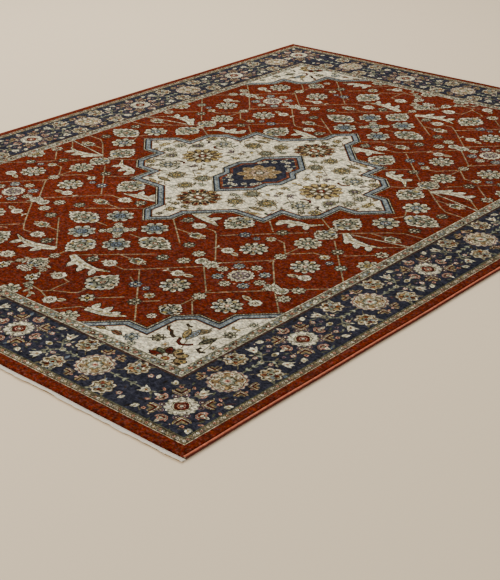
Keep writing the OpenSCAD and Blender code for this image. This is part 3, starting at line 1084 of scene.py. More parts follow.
def bud_flower(pen, x, y, turn, long=82):
    """A drooping bud: a dark scalloped cap over a narrow bag of petals that comes to a point."""
    head = pen.at(x, y, turn, long / 82)
    for grow, yarn in ((1.0, "ink"), (0.86, "bone"), (0.6, "tan")):
        head.area(yarn, [(6, -13 * grow), (6, 13 * grow), (26, 8 * grow), (43 * grow, 0), (26, -8 * grow)])
    head.petal("deep", 16, 0, 0, 18, 5)
    for yarn, radius in (("ink", 26), ("cream", 23.5), ("ink", 18), ("moss", 15.5)):
        head.round(yarn, -10, 0, radius, 6, 0.2)
    head.leaves("gold", 3, 9, -10, 10, 6, first=60)
    for way in (1, -1):
        head.petal("bone", 4, 9 * way, 24 * way, 20, 11)
        head.petal("ink", 6, 9 * way, 20 * way, 10, 4)
        head.petal("sage", -32, 4 * way, 150 * way, 12, 7)
    head.round("rust", -10, 0, 5, sides=6)


def serrated_leaf(pen, spine, teeth, foot=None):
    """A white leaf that tapers along its spine, toothed on one side; each tooth runs foot to tip."""
    if foot:
        pen.line("ink", [foot, spine[0]], 8)
        pen.line("bone", [foot, spine[0]], 5)
    count = len(spine) - 1
    widths = [5 + 13 * math.sin(math.pi * min(1, (i + 0.6) / count)) for i in range(count + 1)]
    widths[-1] = 2
    for extra, yarn in ((3.4, "ink"), (0, "ivory")):
        left = []
        right = []
        for i, (x, y) in enumerate(spine):
            a, b = spine[max(0, i - 1)], spine[min(count, i + 1)]
            v = np.array(b, dtype=float) - np.array(a, dtype=float)
            v = v / np.hypot(*v)
            half = max(1.0, widths[i] + extra)
            left.append((x - v[1] * half, y + v[0] * half))
            right.append((x + v[1] * half, y - v[0] * half))
        pen.area(yarn, left + right[::-1])
        for foot_x, foot_y, tip_x, tip_y in teeth:
            v = np.array([tip_x - foot_x, tip_y - foot_y], dtype=float)
            long = np.hypot(*v)
            turn = math.degrees(math.atan2(v[1], v[0]))
            pen.petal(yarn, foot_x, foot_y, turn, long + extra * 1.5, 26 + 2 * extra)
    for (x0, y0), (x1, y1) in zip(spine, spine[1:]):
        turn = math.degrees(math.atan2(y1 - y0, x1 - x0))
        pen.petal("gold", x0, y0, turn, math.hypot(x1 - x0, y1 - y0) * 0.9, 7)
        pen.petal("brown", (x0 + x1) / 2, (y0 + y1) / 2, turn + 30, 12, 3.4)
    for foot_x, foot_y, tip_x, tip_y in teeth:
        turn = math.degrees(math.atan2(tip_y - foot_y, tip_x - foot_x))
        pen.petal("bone", foot_x, foot_y, turn, math.hypot(tip_x - foot_x, tip_y - foot_y) * 0.7, 9)
        pen.petal("moss", foot_x, foot_y, turn + 40, 12, 4)


def star_of_flowers(pen):
    spots = ((0, -81), (52, -55), (78, 0), (52, 57), (0, 82), (-54, 57), (-78, 0), (-52, -55))
    for i in range(8):
        angle = math.radians(22.5 + 45 * i)
        pen.round("deep", 64 * math.cos(angle), 64 * math.sin(angle), 8.5, sides=6)
        pen.round("pink", 64 * math.cos(angle), 64 * math.sin(angle), 5, 5, 0.3)
    for x, y in spots:
        posy(pen, x, y, 21, ("sky" if x * y else "bone", "moss", "bone"))
    pen.rings(("ink", 49, 14, 0.14), ("cream", 46, 14, 0.16))
    pen.dots("gold", 14, 38, 3.4, 5)
    pen.rings(("ink", 31, 0, 0, 20), ("mauve", 29, 8, 0.08))
    pen.dots("bone", 8, 21, 4.4, 6)
    speckled(pen, 8, 21, 3.4, "ink", 22.5)
    pen.rings(("moss", 13, 8, 0.2), ("bone", 8, 0, 0, 8), ("deep", 4, 0, 0, 6))


def lotus_stack(pen, y, way):
    """Two lotus flowers one above the other, with a leaf to each side."""
    for side in (1, -1):
        for turn, long in ((62, 40), (118, 26)):
            pen.petal("ink", 0, y + 40 * way, 90 * way + turn * side, long + 3, 14)
            pen.petal("bone", 0, y + 40 * way, 90 * way + turn * side, long, 10)
    for shift, size in ((42, 1.0), (22, 0.7), (0, 0.95), (62, 0.55)):
        head = pen.at(0, y + shift * way, 90 * way, size)
        cup = [(-24, 7), (-16, 21), (0, 25), (10, 20), (6, 12), (24, 0)]
        for grow, yarn in ((1.12, "ink"), (1.0, "cream")):
            head.even(yarn, [(u * grow, v * grow) for u, v in cup])
        for yarn, radius, sides in (("brown", 14, 8), ("sage", 11.5, 8), ("olive", 6.5, 6)):
            head.round(yarn, -4, 0, radius, sides=sides)
        for side in (1, -1):
            head.round("ink", 2, 17 * side, 3.4, sides=5)
            head.round("rust", -12, 14 * side, 2.6, sides=5)


field_pen = Pen([])
TWIGS = (
    [(545, 195), (545, 270), (565, 295), (740, 455)], [(970, 190), (975, 260), (940, 300), (780, 450)],
    [(940, 300), (1205, 558)], [(780, 440), (925, 590), (1000, 600), (1060, 660)],
    [(925, 590), (780, 735)], [(745, 455), (620, 570), (595, 588)],
    [(740, 716), (620, 606), (595, 588)], [(745, 716), (905, 880)], [(780, 728), (640, 880)],
    [(340, 645), (410, 711), (500, 795), (590, 880)], [(340, 531), (410, 460), (560, 310)],
    [(335, 340), (415, 430)], [(420, 745), (345, 825)], [(460, 490), (465, 522), (535, 588)],
    [(460, 690), (465, 654), (535, 588)], [(290, 600), (160, 745), (130, 790), (125, 880)],
    [(200, 470), (260, 560)], [(205, 690), (200, 775)], [(290, 790), (210, 880)],
    [(545, 60), (700, 250)], [(1010, 40), (820, 250)],
    [(1145, 135), (1155, 195), (1240, 198), (1258, 180), (1248, 110)], [(1258, 180), (1285, 250)],
    [(1235, 200), (1205, 260), (1190, 280), (1150, 280)], [(1200, 330), (1115, 415)],
    [(1330, 300), (1250, 360), (1240, 400)], [(885, 417), (885, 375)], [(640, 417), (640, 375)],
    [(1027, 373), (1000, 320)], [(1117, 463), (1060, 520)], [(615, 255), (615, 150)],
    [(900, 250), (900, 150)], [(350, 588), (620, 588)], [(900, 588), (1120, 588)],
    [(757, 60), (757, 130)], [(0, 700), (110, 640)], [(860, 0), (1120, 0)],
    [(1090, 20), (1150, 60), (1210, 78), (1250, 108), (1300, 175)],
)
for twig in TWIGS:
    field_pen.line("stem", twig, 4.8)
for x, y in ((640, 375), (885, 375), (545, 120), (970, 120), (1248, 110), (1150, 280)):
    for angle in (215, 325):
        field_pen.petal("bone", x, y, angle, 18, 8)

star_of_flowers(field_pen.at(760, 588))
lotus_stack(field_pen.at(759, 0), 413, 1)
lotus_stack(field_pen.at(762, 0), 763, -1)
for x, y in ((722, 362), (795, 362), (724, 803), (800, 805)):
    posy(field_pen, x, y, 24, ("bone", "moss", "cream"))
for x, y in ((570, 477), (570, 703), (950, 475), (950, 703)):
    round_palmette(field_pen, x, y, 52)
for x, y, *tail in ((638, 417, 648, 465), (880, 417, 868, 468), (638, 757, 653, 707), (880, 757, 868, 702)):
    ring_flower(field_pen, x, y, 22, tail)

pointed_palmette(field_pen, 186, 588, 180, 126, 114)
posy(field_pen, 262, 580, 18, ("bone", "deep", "cream"))
pointed_palmette(field_pen, 322, 588, 0, 96, 92, "olive")
flower(field_pen, 415, 588, 51, 10, 0, ("ivory", "bone", "sage", "rust", "cream"))
posy(field_pen, 560, 588, 23, ("bone", "olive", "cream"))
posy(field_pen, 957, 590, 24, ("bone", "olive", "cream"))
pointed_palmette(field_pen, 1078, 588, 180, 82, 84, "deep")
posy(field_pen, 1150, 574, 17, ("cream", "deep", "cream"))

flower(field_pen, 760, 0, 42, 4, 45, ("ivory", "bone", "sky", "deep", "cream"))
for x, y in ((722, 36), (798, 36)):
    posy(field_pen, x, y, 17, ("bone", "moss", "cream"))
for x, y in ((665, 90), (850, 90)):
    flower(field_pen, x, y, 52, 8, 22, ("ivory", "sky", "blue", "ink", "sky"))
pointed_palmette(field_pen, 757, 190, 90, 150, 104)
pointed_palmette(field_pen, 940, 0, 0, 130, 110)
posy(field_pen, 1050, 0, 20, ("bone", "deep", "cream"))
pointed_palmette(field_pen, 1120, 0, 180, 84, 80, "olive")

flower(field_pen, 95, 685, 52, 8, 10, ("ivory", "bone", "sky", "deep", "cream"))
pointed_palmette(field_pen, 0, 778, 90, 150, 112)
pointed_palmette(field_pen, 437, 282, 0, 136, 118)
pointed_palmette(field_pen, 1082, 282, 180, 136, 118)
for x, y, radius in ((545, 195, 25), (970, 190, 25), (1145, 135, 26)):
    ring_flower(field_pen, x, y, radius)
    for side in (1, -1):
        field_pen.petal("bone", x, y - radius * 0.8, -90 + 38 * side, 18, 9)
for x, y in ((615, 255), (900, 253), (202, 793)):
    bud_flower(field_pen, x, y, 90)
for x, y in ((690, 285), (823, 290), (530, 125), (985, 120)):
    posy(field_pen, x, y, 23, ("fog", "brown", "bone"))
for x, y in ((400, 460), (1117, 463), (407, 711)):
    posy(field_pen, x, y, 23, ("olive", "brown", "bone"))
for x, y in ((470, 467), (1057, 467), (470, 705)):
    posy(field_pen, x, y, 20, ("bone", "gold", "deep"))
for x, y, radius in ((500, 373, 22), (1027, 373, 23), (500, 427, 14), (1027, 421, 14), (496, 747, 15)):
    posy(field_pen, x, y, radius, ("blue", "brown", "bone"))
for x, y, radius, *coat in (
    (504, 800, 22, "sage", "moss", "cream"), (330, 840, 25, "bone", "brown", "pink"),
    (87, 803, 23, "olive", "brown", "bone"), (1195, 330, 27, "bone", "brown", "gold"),
):
    posy(field_pen, x, y, radius, coat)
ring_flower(field_pen, 1280, 250, 24, (1254, 285))
for x, y, turn in (
    (1104, 26, 10), (1120, 42, 80), (1134, 46, -20), (1172, 62, 60), (1180, 74, -30), (1230, 92, 70),
    (1238, 104, -20), (1262, 122, 80), (1272, 140, 0), (1286, 156, 90), (1292, 172, 20),
):
    field_pen.petal("ink", x, y, turn, 31, 15)
    field_pen.petal("bone", x, y, turn, 28, 11)
    field_pen.petal("moss", x, y, turn, 16, 4)
for x, y, radius, *coat in (
    (1210, 76, 25, "ivory", "brown", "gold"), (1150, 60, 15, "bone", "deep", "cream"),
    (1258, 118, 15, "sage", "deep", "cream"), (1180, 12, 20, "cream", "deep", "cream"),
):
    posy(field_pen, x, y, radius, coat)
flower(field_pen, 430, 858, 40, 8, 0, ("ivory", "bone", "gold", "deep", "cream"))
flower(field_pen, 1312, 90, 38)
flower(field_pen, 1316, 380, 36)

for spine, teeth, foot in (
    (
        [(262, 634), (292, 668), (302, 710), (300, 760), (282, 806)],
        [(290, 668, 334, 688), (302, 712, 342, 742), (300, 758, 334, 790)], (215, 870),
    ),
    (
        [(336, 384), (312, 410), (300, 450), (292, 490), (250, 526)],
        [(322, 396, 362, 398), (304, 440, 352, 444), (296, 482, 328, 506)], None,
    ),
    (
        [(470, 92), (476, 130), (484, 180), (494, 215), (502, 244)],
        [(474, 130, 432, 148), (482, 182, 438, 206)], None,
    ),
    (
        [(1008, 44), (1026, 84), (1038, 130), (1036, 190), (1016, 240)],
        [(1026, 84, 1082, 98), (1038, 134, 1086, 156), (1036, 186, 1080, 208)], None,
    ),
    (
        [(1248, 384), (1236, 420), (1232, 450), (1226, 480), (1202, 518)],
        [(1238, 400, 1194, 392), (1232, 440, 1186, 440), (1228, 472, 1196, 486)], None,
    ),
):
    serrated_leaf(field_pen, spine, teeth, foot)
field_pen.line("brown", stepped(MEDALLION, OUTLINE / 2 + 1.2), 2.4)
field_pen.line("brown", corner_line(OUTLINE / 2 + 1.2), 2.4)
field_outline = (
    stepped(MEDALLION, OUTLINE / 2)[::-1] + [(FIELD_X, 0)] + corner_line(OUTLINE / 2)[::-1] + [(0, FIELD_Y)]
)
pile_zone("pile_field", field_outline, field_pen, "red")

# --- Wool pile: outlines -----------------------------------------------------------------------
# Each stepped outline is a blue-grey stripe between dark lines. A red line divides it from the
# cream ground inside it, and a beaded cream line divides it from the ground outside.
BEAD_STEP = 9.0


def striped(line, distances):
    """A pen holding the outline's stripes, each (from, to, yarn) in distance from its middle."""
    pen = Pen([])
    for near, far, yarn in distances:
        pen.area(yarn, line(near) + line(far)[::-1])
    for away, yarn, size in ((OUTLINE / 2 - 3.0, "ink", 1.8), (-1, "fog", 3.6)):
        path = line(away)
        for (x0, y0), (x1, y1) in zip(path, path[1:]):
            long = math.hypot(x1 - x0, y1 - y0)
            turn = math.degrees(math.atan2(y1 - y0, x1 - x0))
            count = max(1, round(long / BEAD_STEP))
            for i in range(count):
                share = (i + 0.5) / count
                tick = pen.at(x0 + (x1 - x0) * share, y0 + (y1 - y0) * share, turn)
                tick.area(yarn, [(-size / 2, -size), (size / 2, -size), (size / 2, size), (-size / 2, size)])
    return pen


STRIPES = (
    (-18, -14.6, "rust"), (-14.6, -9.5, "ink"), (-9.5, 7.5, "blue"), (-6, 4, "sky"),
    (7.5, 13.6, "ink"), (13.6, 16.8, "bone"), (16.8, 18, "brown"),
)
for node, line in (
    ("pile_corner_outlines", corner_line),
    ("pile_medallion_outline", lambda distance: stepped(MEDALLION, distance)),
    ("pile_centre_outline", lambda distance: stepped(CENTRE, distance)),
):
    outline = line(-OUTLINE / 2) + line(OUTLINE / 2)[::-1]
    pile_zone(node, outline, striped(line, STRIPES), "ink")

# --- Wool pile: corners ------------------------------------------------------------------------
# Each cream corner holds a gold and maroon palmette cut by both guards, one big feathered leaf,
# brown scrolls and a few loose flowers.


def scroll(pen, yarn, points, width):
    pen.line("ink", points, width + 3)
    pen.line(yarn, points, width)


def feathered_leaf(pen, x, y, turn, long, wide, yarns=("olive", "gold", "blue")):
    leaf = pen.at(x, y, turn)
    leaf.petal("brown", -3, 0, 0, long + 8, wide + 8)
    leaf.petal(yarns[0], 0, 0, 0, long, wide)
    for i in range(4):
        foot = long * (0.15 + 0.18 * i)
        for side in (1, -1):
            leaf.petal(yarns[1], foot, 0, 48 * side, wide * 0.5, 7)
    leaf.petal(yarns[2], long * 0.1, 0, 0, long * 0.75, wide * 0.24)


corner_pen = Pen([])
big = corner_pen.at(1312, 796, 0, 1.2)
big.rings(("brown", 60, 10, 0.24), ("tan", 57, 10, 0.24))
big.leaves("brown", 10, 30, 0, 24, 13, first=18)
big.leaves("gold", 10, 30, 4, 20, 11)
big.dots("moss", 10, 44, 4, 6)
for angle, yarn in ((-150, "deep"), (-120, "moss"), (-95, "deep"), (-70, "rust"), (-45, "deep")):
    big.petal("ink", 0, 0, angle, 60, 24, 0.4)
    big.petal(yarn, 0, 0, angle, 56, 19, 0.4)
big.rings(("brown", 30, 8, 0.15), ("ivory", 26, 8, 0.28))
speckled(big, 8, 17, 3.4, "brown", 22.5)
big.rings(("rust", 12, 0, 0, 10), ("gold", 6, 0, 0, 6))
for twig in (
    [(1060, 800), (1090, 770), (1130, 776), (1180, 760)],
    [(1180, 760), (1200, 726), (1236, 700), (1262, 652), (1296, 600), (1304, 500)],
    [(1120, 706), (1150, 730), (1180, 760), (1240, 790)],
    [(1040, 836), (1080, 850), (1130, 826), (1178, 842), (1230, 852)],
    [(960, 862), (1010, 850), (1040, 836)],
):
    corner_pen.line("olive", twig, 4)
for x, y, turn, long, wide, yarns in (
    (1104, 780, -34, 60, 30, ("olive", "tan", "moss")), (1122, 752, 8, 70, 26, ("sky", "olive", "blue")),
    (1136, 726, 24, 58, 20, ("gold", "tan", "olive")), (1130, 826, -14, 60, 26, ("moss", "ink", "olive")),
    (1296, 596, -96, 44, 20, ("fog", "rust", "brown")),
    (1302, 532, -92, 44, 18, ("moss", "gold", "olive")),
):
    feathered_leaf(corner_pen, x, y, turn, long, wide, yarns)
for yarn, spine, width in (
    ("brown", [(1160, 660), (1176, 672), (1180, 692), (1196, 706), (1204, 728)], 9),
    ("rust", [(1164, 664), (1178, 676), (1184, 692)], 4),
    ("deep", [(1194, 742), (1216, 752), (1224, 770), (1214, 788), (1200, 800)], 9),
    ("brown", [(1116, 694), (1124, 706), (1122, 722)], 7),
    ("brown", [(1198, 832), (1214, 830), (1222, 846), (1214, 862)], 7),
    ("gold", [(1040, 812), (1052, 822), (1046, 846)], 6),
):
    scroll(corner_pen, yarn, spine, width)
for x, y, radius, *coat in (
    (1236, 690, 22, "olive", "moss", "bone"), (1283, 627, 24, "sky", "moss", "bone"),
    (1312, 656, 14, "sage", "moss", "bone"), (1252, 736, 13, "bone", "rust", "gold"),
    (1087, 842, 21, "fog", "brown", "bone"), (993, 853, 15, "sage", "brown", "bone"),
    (1152, 796, 12, "bone", "moss", "gold"), (1178, 858, 12, "fog", "rust", "bone"),
    (1306, 470, 11, "sage", "brown", "bone"),
):
    posy(corner_pen, x, y, radius, coat)
pile_zone(
    "pile_corners", corner_line(-OUTLINE / 2) + [(FIELD_X, FIELD_Y)], corner_pen, "cream"
)

# --- Wool pile: medallion ----------------------------------------------------------------------
# The cream medallion has a large gold rosette toward each side and a maroon one toward each end,
# with olive palmettes, curled leaves and fine mauve vines between.


def great_rosette(pen, x, y, radius, yarns):
    """A rosette of twelve petals: edge, petals, splits, ring and heart yarns."""
    head = pen.at(x, y, 0, radius / 80)
    edge, petals, splits, ring, heart = yarns
    head.rings(("brown", 83, 12, 0.2), (edge, 80, 12, 0.2))
    head.leaves(splits, 12, 42, 0, 32, 15, 0.3, first=15)
    head.leaves(petals, 12, 46, 0, 30, 14, 0.3)
    head.dots("cream", 12, 66, 3.6, 5, 15)
    head.rings(("brown", 46, 8, 0.12), (ring, 43, 8, 0.2))
    head.leaves("cream", 8, 27, -5, 18, 10)
    head.rings(("brown", 20, 8, 0.12), (heart, 17, 8, 0.2), ("cream", 7, 0, 0, 8))


medallion_pen = Pen([])
VINES = (
    [(0, 196), (60, 196), (84, 168), (150, 150), (190, 130), (236, 86), (285, 130), (330, 96)],
    [(80, 240), (110, 214), (150, 224), (190, 170), (205, 250), (242, 300), (300, 312)],
    [(190, 130), (225, 190), (225, 235), (290, 240), (330, 200), (340, 120)],
    [(84, 330), (120, 340), (165, 345), (200, 392), (236, 400)],
    [(165, 345), (150, 410), (185, 430), (140, 450), (75, 415), (30, 450)],
    [(0, 400), (36, 424), (30, 470), (60, 500), (12, 540), (0, 600)],
    [(100, 250), (140, 262), (160, 296), (196, 286)],
    [(420, 20), (452, 30), (500, 14), (560, 0)],
    [(430, 60), (470, 50), (500, 26)],
)
for vine in VINES:
    medallion_pen.line("olive", vine, 4.2)
for x, y, turn, yarn in (
    (60, 196, 60, "sage"), (120, 162, 200, "olive"), (236, 86, 80, "sage"), (262, 108, 150, "olive"),
    (150, 224, 250, "mauve"), (206, 262, 20, "olive"), (252, 306, 330, "tan"), (316, 220, 60, "olive"),
    (336, 160, 190, "sage"), (132, 342, 260, "tan"), (186, 370, 10, "olive"), (150, 400, 170, "mauve"),
    (120, 440, 250, "sage"), (36, 424, 20, "olive"), (46, 486, 340, "sage"), (40, 520, 30, "tan"),
    (120, 256, 80, "mauve"), (452, 30, 80, "olive"), (484, 18, 260, "sage"), (466, 52, 60, "tan"),
    (80, 226, 130, "olive"), (230, 330, 290, "sage"), (300, 290, 60, "moss"), (96, 470, 20, "tan"),
):
    medallion_pen.petal("moss", x, y, turn, 29, 14)
    medallion_pen.petal(yarn, x + 1, y + 1, turn, 24, 8.5)
great_rosette(medallion_pen, 0, 312, 86, ("tan", "gold", "brown", "olive", "deep"))
great_rosette(medallion_pen, 346, 6, 84, ("tan", "deep", "ink", "olive", "rust"))
for x, y, radius, turn, coat in (
    (190, 130, 38, 20, ("tan", "olive", "sage", "brown", "bone")),
    (287, 132, 36, 0, ("tan", "olive", "gold", "brown", "bone")),
    (228, 236, 42, 10, ("tan", "olive", "gold", "deep", "bone")),
    (165, 346, 44, 0, ("sage", "bone", "sky", "gold", "cream")),
    (78, 414, 31, 0, ("sage", "olive", "mauve", "moss", "bone")),
    (184, 430, 27, 22, ("tan", "gold", "olive", "deep", "cream")),
    (32, 472, 29, 0, ("olive", "bone", "sage", "brown", "cream")),
):
    flower(medallion_pen, x, y, radius, 8, turn, coat)
for x, y, turn, long, wide, yarns in (
    (288, 278, -84, 72, 24, ("moss", "tan", "olive")), (322, 290, -70, 60, 16, ("tan", "gold", "olive")),
):
    feathered_leaf(medallion_pen, x, y, turn, long, wide, yarns)
for yarn, spine, width in (
    ("deep", [(116, 302), (104, 318), (104, 342), (122, 358)], 8),
    ("moss", [(146, 302), (168, 288), (196, 290)], 6), ("mauve", [(92, 268), (108, 250), (132, 252)], 6),
    ("brown", [(132, 404), (150, 416), (152, 440)], 6),
    ("olive", [(218, 300), (236, 316), (224, 340)], 5),
):
    scroll(medallion_pen, yarn, spine, width)
for x, y, radius, *coat in (
    (216, 394, 16, "olive", "brown", "bone"), (12, 534, 17, "gold", "brown", "bone"),
    (0, 584, 13, "olive", "brown", "bone"), (66, 520, 12, "tan", "moss", "bone"),
    (118, 206, 15, "tan", "brown", "bone"), (66, 184, 16, "gold", "brown", "bone"),
    (108, 252, 14, "mauve", "brown", "bone"), (240, 80, 15, "sage", "moss", "bone"),
    (330, 232, 13, "bone", "deep", "gold"), (446, 24, 17, "olive", "brown", "gold"),
    (500, 0, 19, "gold", "deep", "bone"), (556, 0, 13, "olive", "brown", "bone"),
    (428, 82, 13, "sage", "brown", "bone"), (130, 452, 12, "bone", "brown", "gold"),
    (300, 316, 11, "mauve", "brown", "bone"),
):
    posy(medallion_pen, x, y, radius, coat)
for x, y, turn in ((0, 166, 90), (0, 192, 90), (268, 0, 0), (150, 172, 50)):
    medallion_pen.petal("brown", x, y, turn, 28, 20)
    medallion_pen.petal("gold", x, y, turn, 22, 14)
medallion_outline = stepped(CENTRE, OUTLINE / 2)[::-1] + stepped(MEDALLION, -OUTLINE / 2)
pile_zone("pile_medallion", medallion_outline, medallion_pen, "cream")

# --- Wool pile: centre -------------------------------------------------------------------------
# A small navy medallion, edged in red, frames one tan star flower. Pink blossoms stand round its
# heart, and cream ones fill the corners beside it.
centre_pen = Pen([])
centre_pen.area("rust", stepped(CENTRE, -OUTLINE / 2 - 1) + [(0, 0)])
centre_pen.area("navy", stepped(CENTRE, -OUTLINE / 2 - 6) + [(0, 0)])
star = centre_pen.at(0, 0)
star.round("brown", 0, 0, 95, 8, 0.34, squeeze=0.95)
star.round("tan", 0, 0, 93, 8, 0.34, squeeze=0.95)
star.leaves("brown", 8, 44, 2, 36, 17)
star.leaves("tan", 8, 44, 5, 28, 11)
star.dots("cream", 8, 62, 5, 6, 22.5)
star.round("olive", 0, 0, 44, 8, 0.2)
star.spun(8, 30, lambda p: blossom(p, 0, 0, 9, 5, "pink", "deep"))
star.rings(("brown", 20, 0, 0, 12), ("cream", 16, 8, 0.3), ("deep", 6, 0, 0, 8))
for x, y in ((130, 34), (112, 64), (160, 12), (90, 76)):
    blossom(centre_pen, x, y, 13, 6, "cream", "rust", "sage")
for x, y in ((186, 14), (146, 56)):
    centre_pen.petal("sage", x - 8, y, 20, 20, 9)
pile_zone("pile_centre", stepped(CENTRE, -OUTLINE / 2) + [(0, 0)], centre_pen, "navy")

# --- End tapes ---------------------------------------------------------------------------------
# A cream cotton tape is folded round each cut end of the weave. One row of machine stitches holds
# its upper leaf beside the pile and the lower leaf is glued under the edge.
TAPE_CUT, TAPE_NODES = 0.045, (("end_tape_near", -1), ("end_tape_far", 1))
TAPE_THICK, TAPE_NOSE, LIP_LIFT = 0.0008, 0.0022, 0.0034
RIPPLES = ((0.0014, 31, 0), (0.0009, 77, 1), (0.0005, 171, 0))
CURLS = ((0.0007, 11, 2), (0.0005, 53, 0))


def waved(y, waves, start=0.0):
    """Waves of a height, a rate along Y and a lag, added up."""
    return sum((height * math.sin(y * rate + lag) for height, rate, lag in waves), start)


def tape_cloth():
    cloth = Cloth("tape_cloth", 0.9, 0.45, srgb(255, 240, 214))
    ribs = cloth.waves("Y", 0.0032, 2.0)
    fine = cloth.waves("X", 0.0016, 0.6)
    colour = cloth.mixed(srgb(244, 226, 196), srgb(255, 248, 228), cloth.ranged(ribs, 0, 1, 0.3, 1))
    colour = cloth.mixed(colour, srgb(248, 226, 198), cloth.noise(9, 0, 0.4, 4))
    colour = cloth.shaded(colour, cloth.noise(300, 0.9, 1.06))
    return cloth.finished(colour, cloth.maths("ADD", ribs, cloth.maths("MULTIPLY", fine, 0.4)), 0.0012)


def folded_tape(name, node, way):
    """A tape folded over the cut end: a profile of two leaves and a round nose, swept along Y."""
    low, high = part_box(node)
    inner = min(abs(low.x), abs(high.x))
    outer = max(abs(low.x), abs(high.x))
    top = high.z
    turns = (1.25, 0.8, 0.35, 0, -0.35, -0.8, -1.25)
    ring = [(PILE_HIGH.x, top - 0.0002), (PILE_HIGH.x + 0.005, top)]
    ring += [
        (outer - TAPE_NOSE + TAPE_NOSE * math.cos(a), top / 2 + (top / 2) * math.sin(a)) for a in turns
    ]
    ring += [(PILE_HIGH.x, 0.0), (inner, 0.0)]
    edge, roof = GROUND_HIGH.x, top - TAPE_THICK
    ring += [(inner, TAPE_THICK), (edge - 0.001, TAPE_THICK), (edge, 0.0012)]
    ring += [(edge, roof - 0.0004), (edge - 0.001, roof), (PILE_HIGH.x, roof)]
    rows = spaced(low.y, high.y, 0.006)
    points = []
    for y in rows:
        ripple, curl = waved(y, RIPPLES), waved(y, CURLS, LIP_LIFT)
        for x, z in ring:
            reach = max(0.0, (x - PILE_HIGH.x) / (outer - PILE_HIGH.x))
            if abs(y) > PILE_HIGH.y:
                x = max(x, PILE_HIGH.x - 0.0001)
            points.append((way * (x + ripple * reach), y, z + curl * reach**2))
    size = len(ring)
    faces = []
    for j in range(len(rows) - 1):
        for k in range(size):
            n = (k + 1) % size
            faces.append((j * size + k, j * size + n, (j + 1) * size + n, (j + 1) * size + k))
    faces.append(tuple(range(size)))
    faces.append(tuple(reversed(range(size * (len(rows) - 1), size * len(rows)))))
    if way > 0:
        faces = [tuple(reversed(f)) for f in faces]
    tape = new_mesh(name, settled(points), faces, TAPE, smooth=False)
    built(tape, node, [])
    return tape


TAPE = tape_cloth()
white_thread = thread_cloth("white_thread", srgb(170, 156, 132), srgb(226, 216, 196))
for (node, way), side in zip(TAPE_NODES, ("near", "far")):
    tape = folded_tape("folded_tape_" + side, node, way)
    low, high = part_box("tape_thread_" + side)
    seam = [((low.x + high.x) / 2, y, high.z - 0.0004) for y in spaced(low.y + 0.002, high.y - 0.002, 0.0048)]
    loop = stitch(0.0038, 0.0004, 0.0006, white_thread)
    across = [math.pi / 2] * len(seam)
    thread = repeated("tape_stitches_" + side, loop, settled(seam), across, white_thread, 0.05, 11)
    built(thread, "tape_thread_" + side, [])

# --- Side cords --------------------------------------------------------------------------------
# A three-strand cotton cord lies along each side, against the edge of the weave, and gives the
# finished side its round section. The wrapping hides it.
CORD_TURN = 0.04


def cord_cotton():
    cloth = Cloth("cord_cotton", 0.95)
    twist = cloth.waves("DIAGONAL", 0.002, 2.0)
    colour = cloth.mixed(srgb(150, 132, 104), srgb(206, 192, 164), twist)
    return cloth.finished(colour, twist, 0.0004)


CORD = cord_cotton()
for side in ("left", "right"):
    low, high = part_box("side_cord_" + side)
    middle = (low + high) / 2
    strand = (high.z - low.z) / 4
    orbit = strand * 0.98
    points = []
    faces = []
    for part in range(3):
        path = []
        for x in spaced(low.x + 0.002, high.x - 0.002, 0.009):
            angle = 2 * math.pi * (x / CORD_TURN + part / 3)
            path.append((x, middle.y + orbit * math.cos(angle), middle.z + orbit * math.sin(angle)))
        strand_points, strand_faces = tube(path, strand, strand, 7, False)
        faces += [tuple(i + len(points) for i in face) for face in strand_faces]
        points += [tuple(p) for p in strand_points]
    cord = new_mesh("twisted_cord_" + side, settled(points), faces, CORD, smooth=True)
    built(cord, "side_cord_" + side)

# --- Side serging ------------------------------------------------------------------------------
# Red-brown yarn is wrapped round each cord and the edge of the weave, turn against turn, from end
# to end. Each turn slants a little. The yarn is painted paler toward the top as a painted highlight,
# and darker below as a painted shade. The right side's painted highlight is brighter than the left's.
WRAP_PITCH, WRAP_SLANT, WRAP_STEPS = 0.003, 14, 12
YARN_REACH, YARN_HALF = 0.00115, 0.0016
YARN_ROUND = ((-1, -0.3), (-0.55, 0.7), (0, 1), (0.55, 0.7), (1, -0.3))
# Heights over which the painted highlight fades in toward the top of each wrap.
PAINTED_HIGHLIGHT_FROM, PAINTED_HIGHLIGHT_FULL = 0.0084, 0.0109


def serging_wool(name, top, under):
    cloth = Cloth(name, 0.9, 0.35, srgb(255, 214, 190))
    split = cloth.node("ShaderNodeSeparateXYZ")
    cloth.join(cloth.place, split.inputs[0])
    # Painted highlight over painted shade: the colour runs from the dark under colour to the pale top colour
    # with height.
    height = cloth.ranged(split.outputs["Z"], PAINTED_HIGHLIGHT_FROM, PAINTED_HIGHLIGHT_FULL, 0, 1)
    colour = cloth.mixed(under, top, height)
    colour = cloth.shaded(colour, cloth.noise(90, 0.6, 1.35, 3))
    fibres = cloth.noise(900, 0, 1, 2, cloth.stretched(1, 0.3, 0.3, WRAP_SLANT))
    return cloth.finished(cloth.shaded(colour, cloth.ranged(fibres, 0, 1, 0.85, 1.1)), fibres, 0.0004)
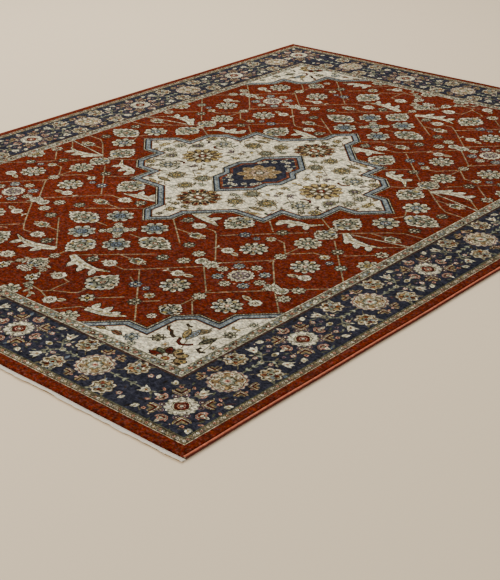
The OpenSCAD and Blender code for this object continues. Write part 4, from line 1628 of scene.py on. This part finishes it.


# Lit and shaded copies: the right side's top colour is a brighter painted highlight than the left's.
for side, top in (("left", srgb(140, 52, 32)), ("right", srgb(212, 116, 82))):
    low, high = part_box("side_serging_" + side)
    middle = (low + high) / 2
    yarn = serging_wool("serging_wool_" + side, top, srgb(92, 30, 18))
    reach = (high.z - low.z) / 2 - YARN_REACH
    points = []
    faces = []
    for k in range(WRAP_STEPS):
        angle = 2 * math.pi * k / WRAP_STEPS
        for u, v in YARN_ROUND:
            away = reach + v * YARN_REACH
            points.append((u * YARN_HALF, away * math.cos(angle), away * math.sin(angle)))
        a, b = k * 5, (k + 1) % WRAP_STEPS * 5
        faces += [(a + i, b + i, b + (i + 1) % 5, a + (i + 1) % 5) for i in range(5)]
    loop = new_mesh("wrap", points, faces, yarn, smooth=True)
    spots = [(x, middle.y, middle.z) for x in spaced(low.x + 0.002, high.x - 0.002, WRAP_PITCH)]
    slants = [math.radians(WRAP_SLANT)] * len(spots)
    serged = repeated("serging_" + side, loop, settled(spots), slants, yarn, 0.035, 3)
    built(serged, "side_serging_" + side)

# --- Floor and light ---------------------------------------------------------------------------
# A plain pale floor runs out to a pale sky. One broad soft lamp hangs past the rug's left side and
# a weaker one fills in from beyond the near end.
FLOOR = 200
LAMPS = (("key", (1.2, 3.2, 4.2), 3.0, 230), ("fill", (-3.6, 0.8, 3.0), 3.0, 75))
floor_mesh = bpy.data.meshes.new("floor")
floor_corners = [(x * FLOOR, y * FLOOR, 0) for x, y in ((-1, -1), (1, -1), (1, 1), (-1, 1))]
floor_mesh.from_pydata(floor_corners, [], [(0, 1, 2, 3)])
floor = bpy.data.objects.new("floor", floor_mesh)
bpy.context.scene.collection.objects.link(floor)
paint = Cloth("floor_paint", 0.8)
floor_mesh.materials.append(paint.finished(srgb(232, 208, 172), paint.noise(3, 0, 1), 0.0))
sky = bpy.data.worlds.new("studio")
sky.use_nodes = True
sky.node_tree.nodes["Background"].inputs["Color"].default_value = (0.95, 0.97, 1.0, 1)
sky.node_tree.nodes["Background"].inputs["Strength"].default_value = 0.75
bpy.context.scene.world = sky
for name, place, size, power in LAMPS:
    lamp = bpy.data.objects.new(name, bpy.data.lights.new(name, "AREA"))
    lamp.data.size = size
    lamp.data.energy = power
    lamp.location = place
    lamp.rotation_euler = (Vector((0, 0, 0)) - Vector(place)).to_track_quat("-Z", "Y").to_euler()
    bpy.context.scene.collection.objects.link(lamp)
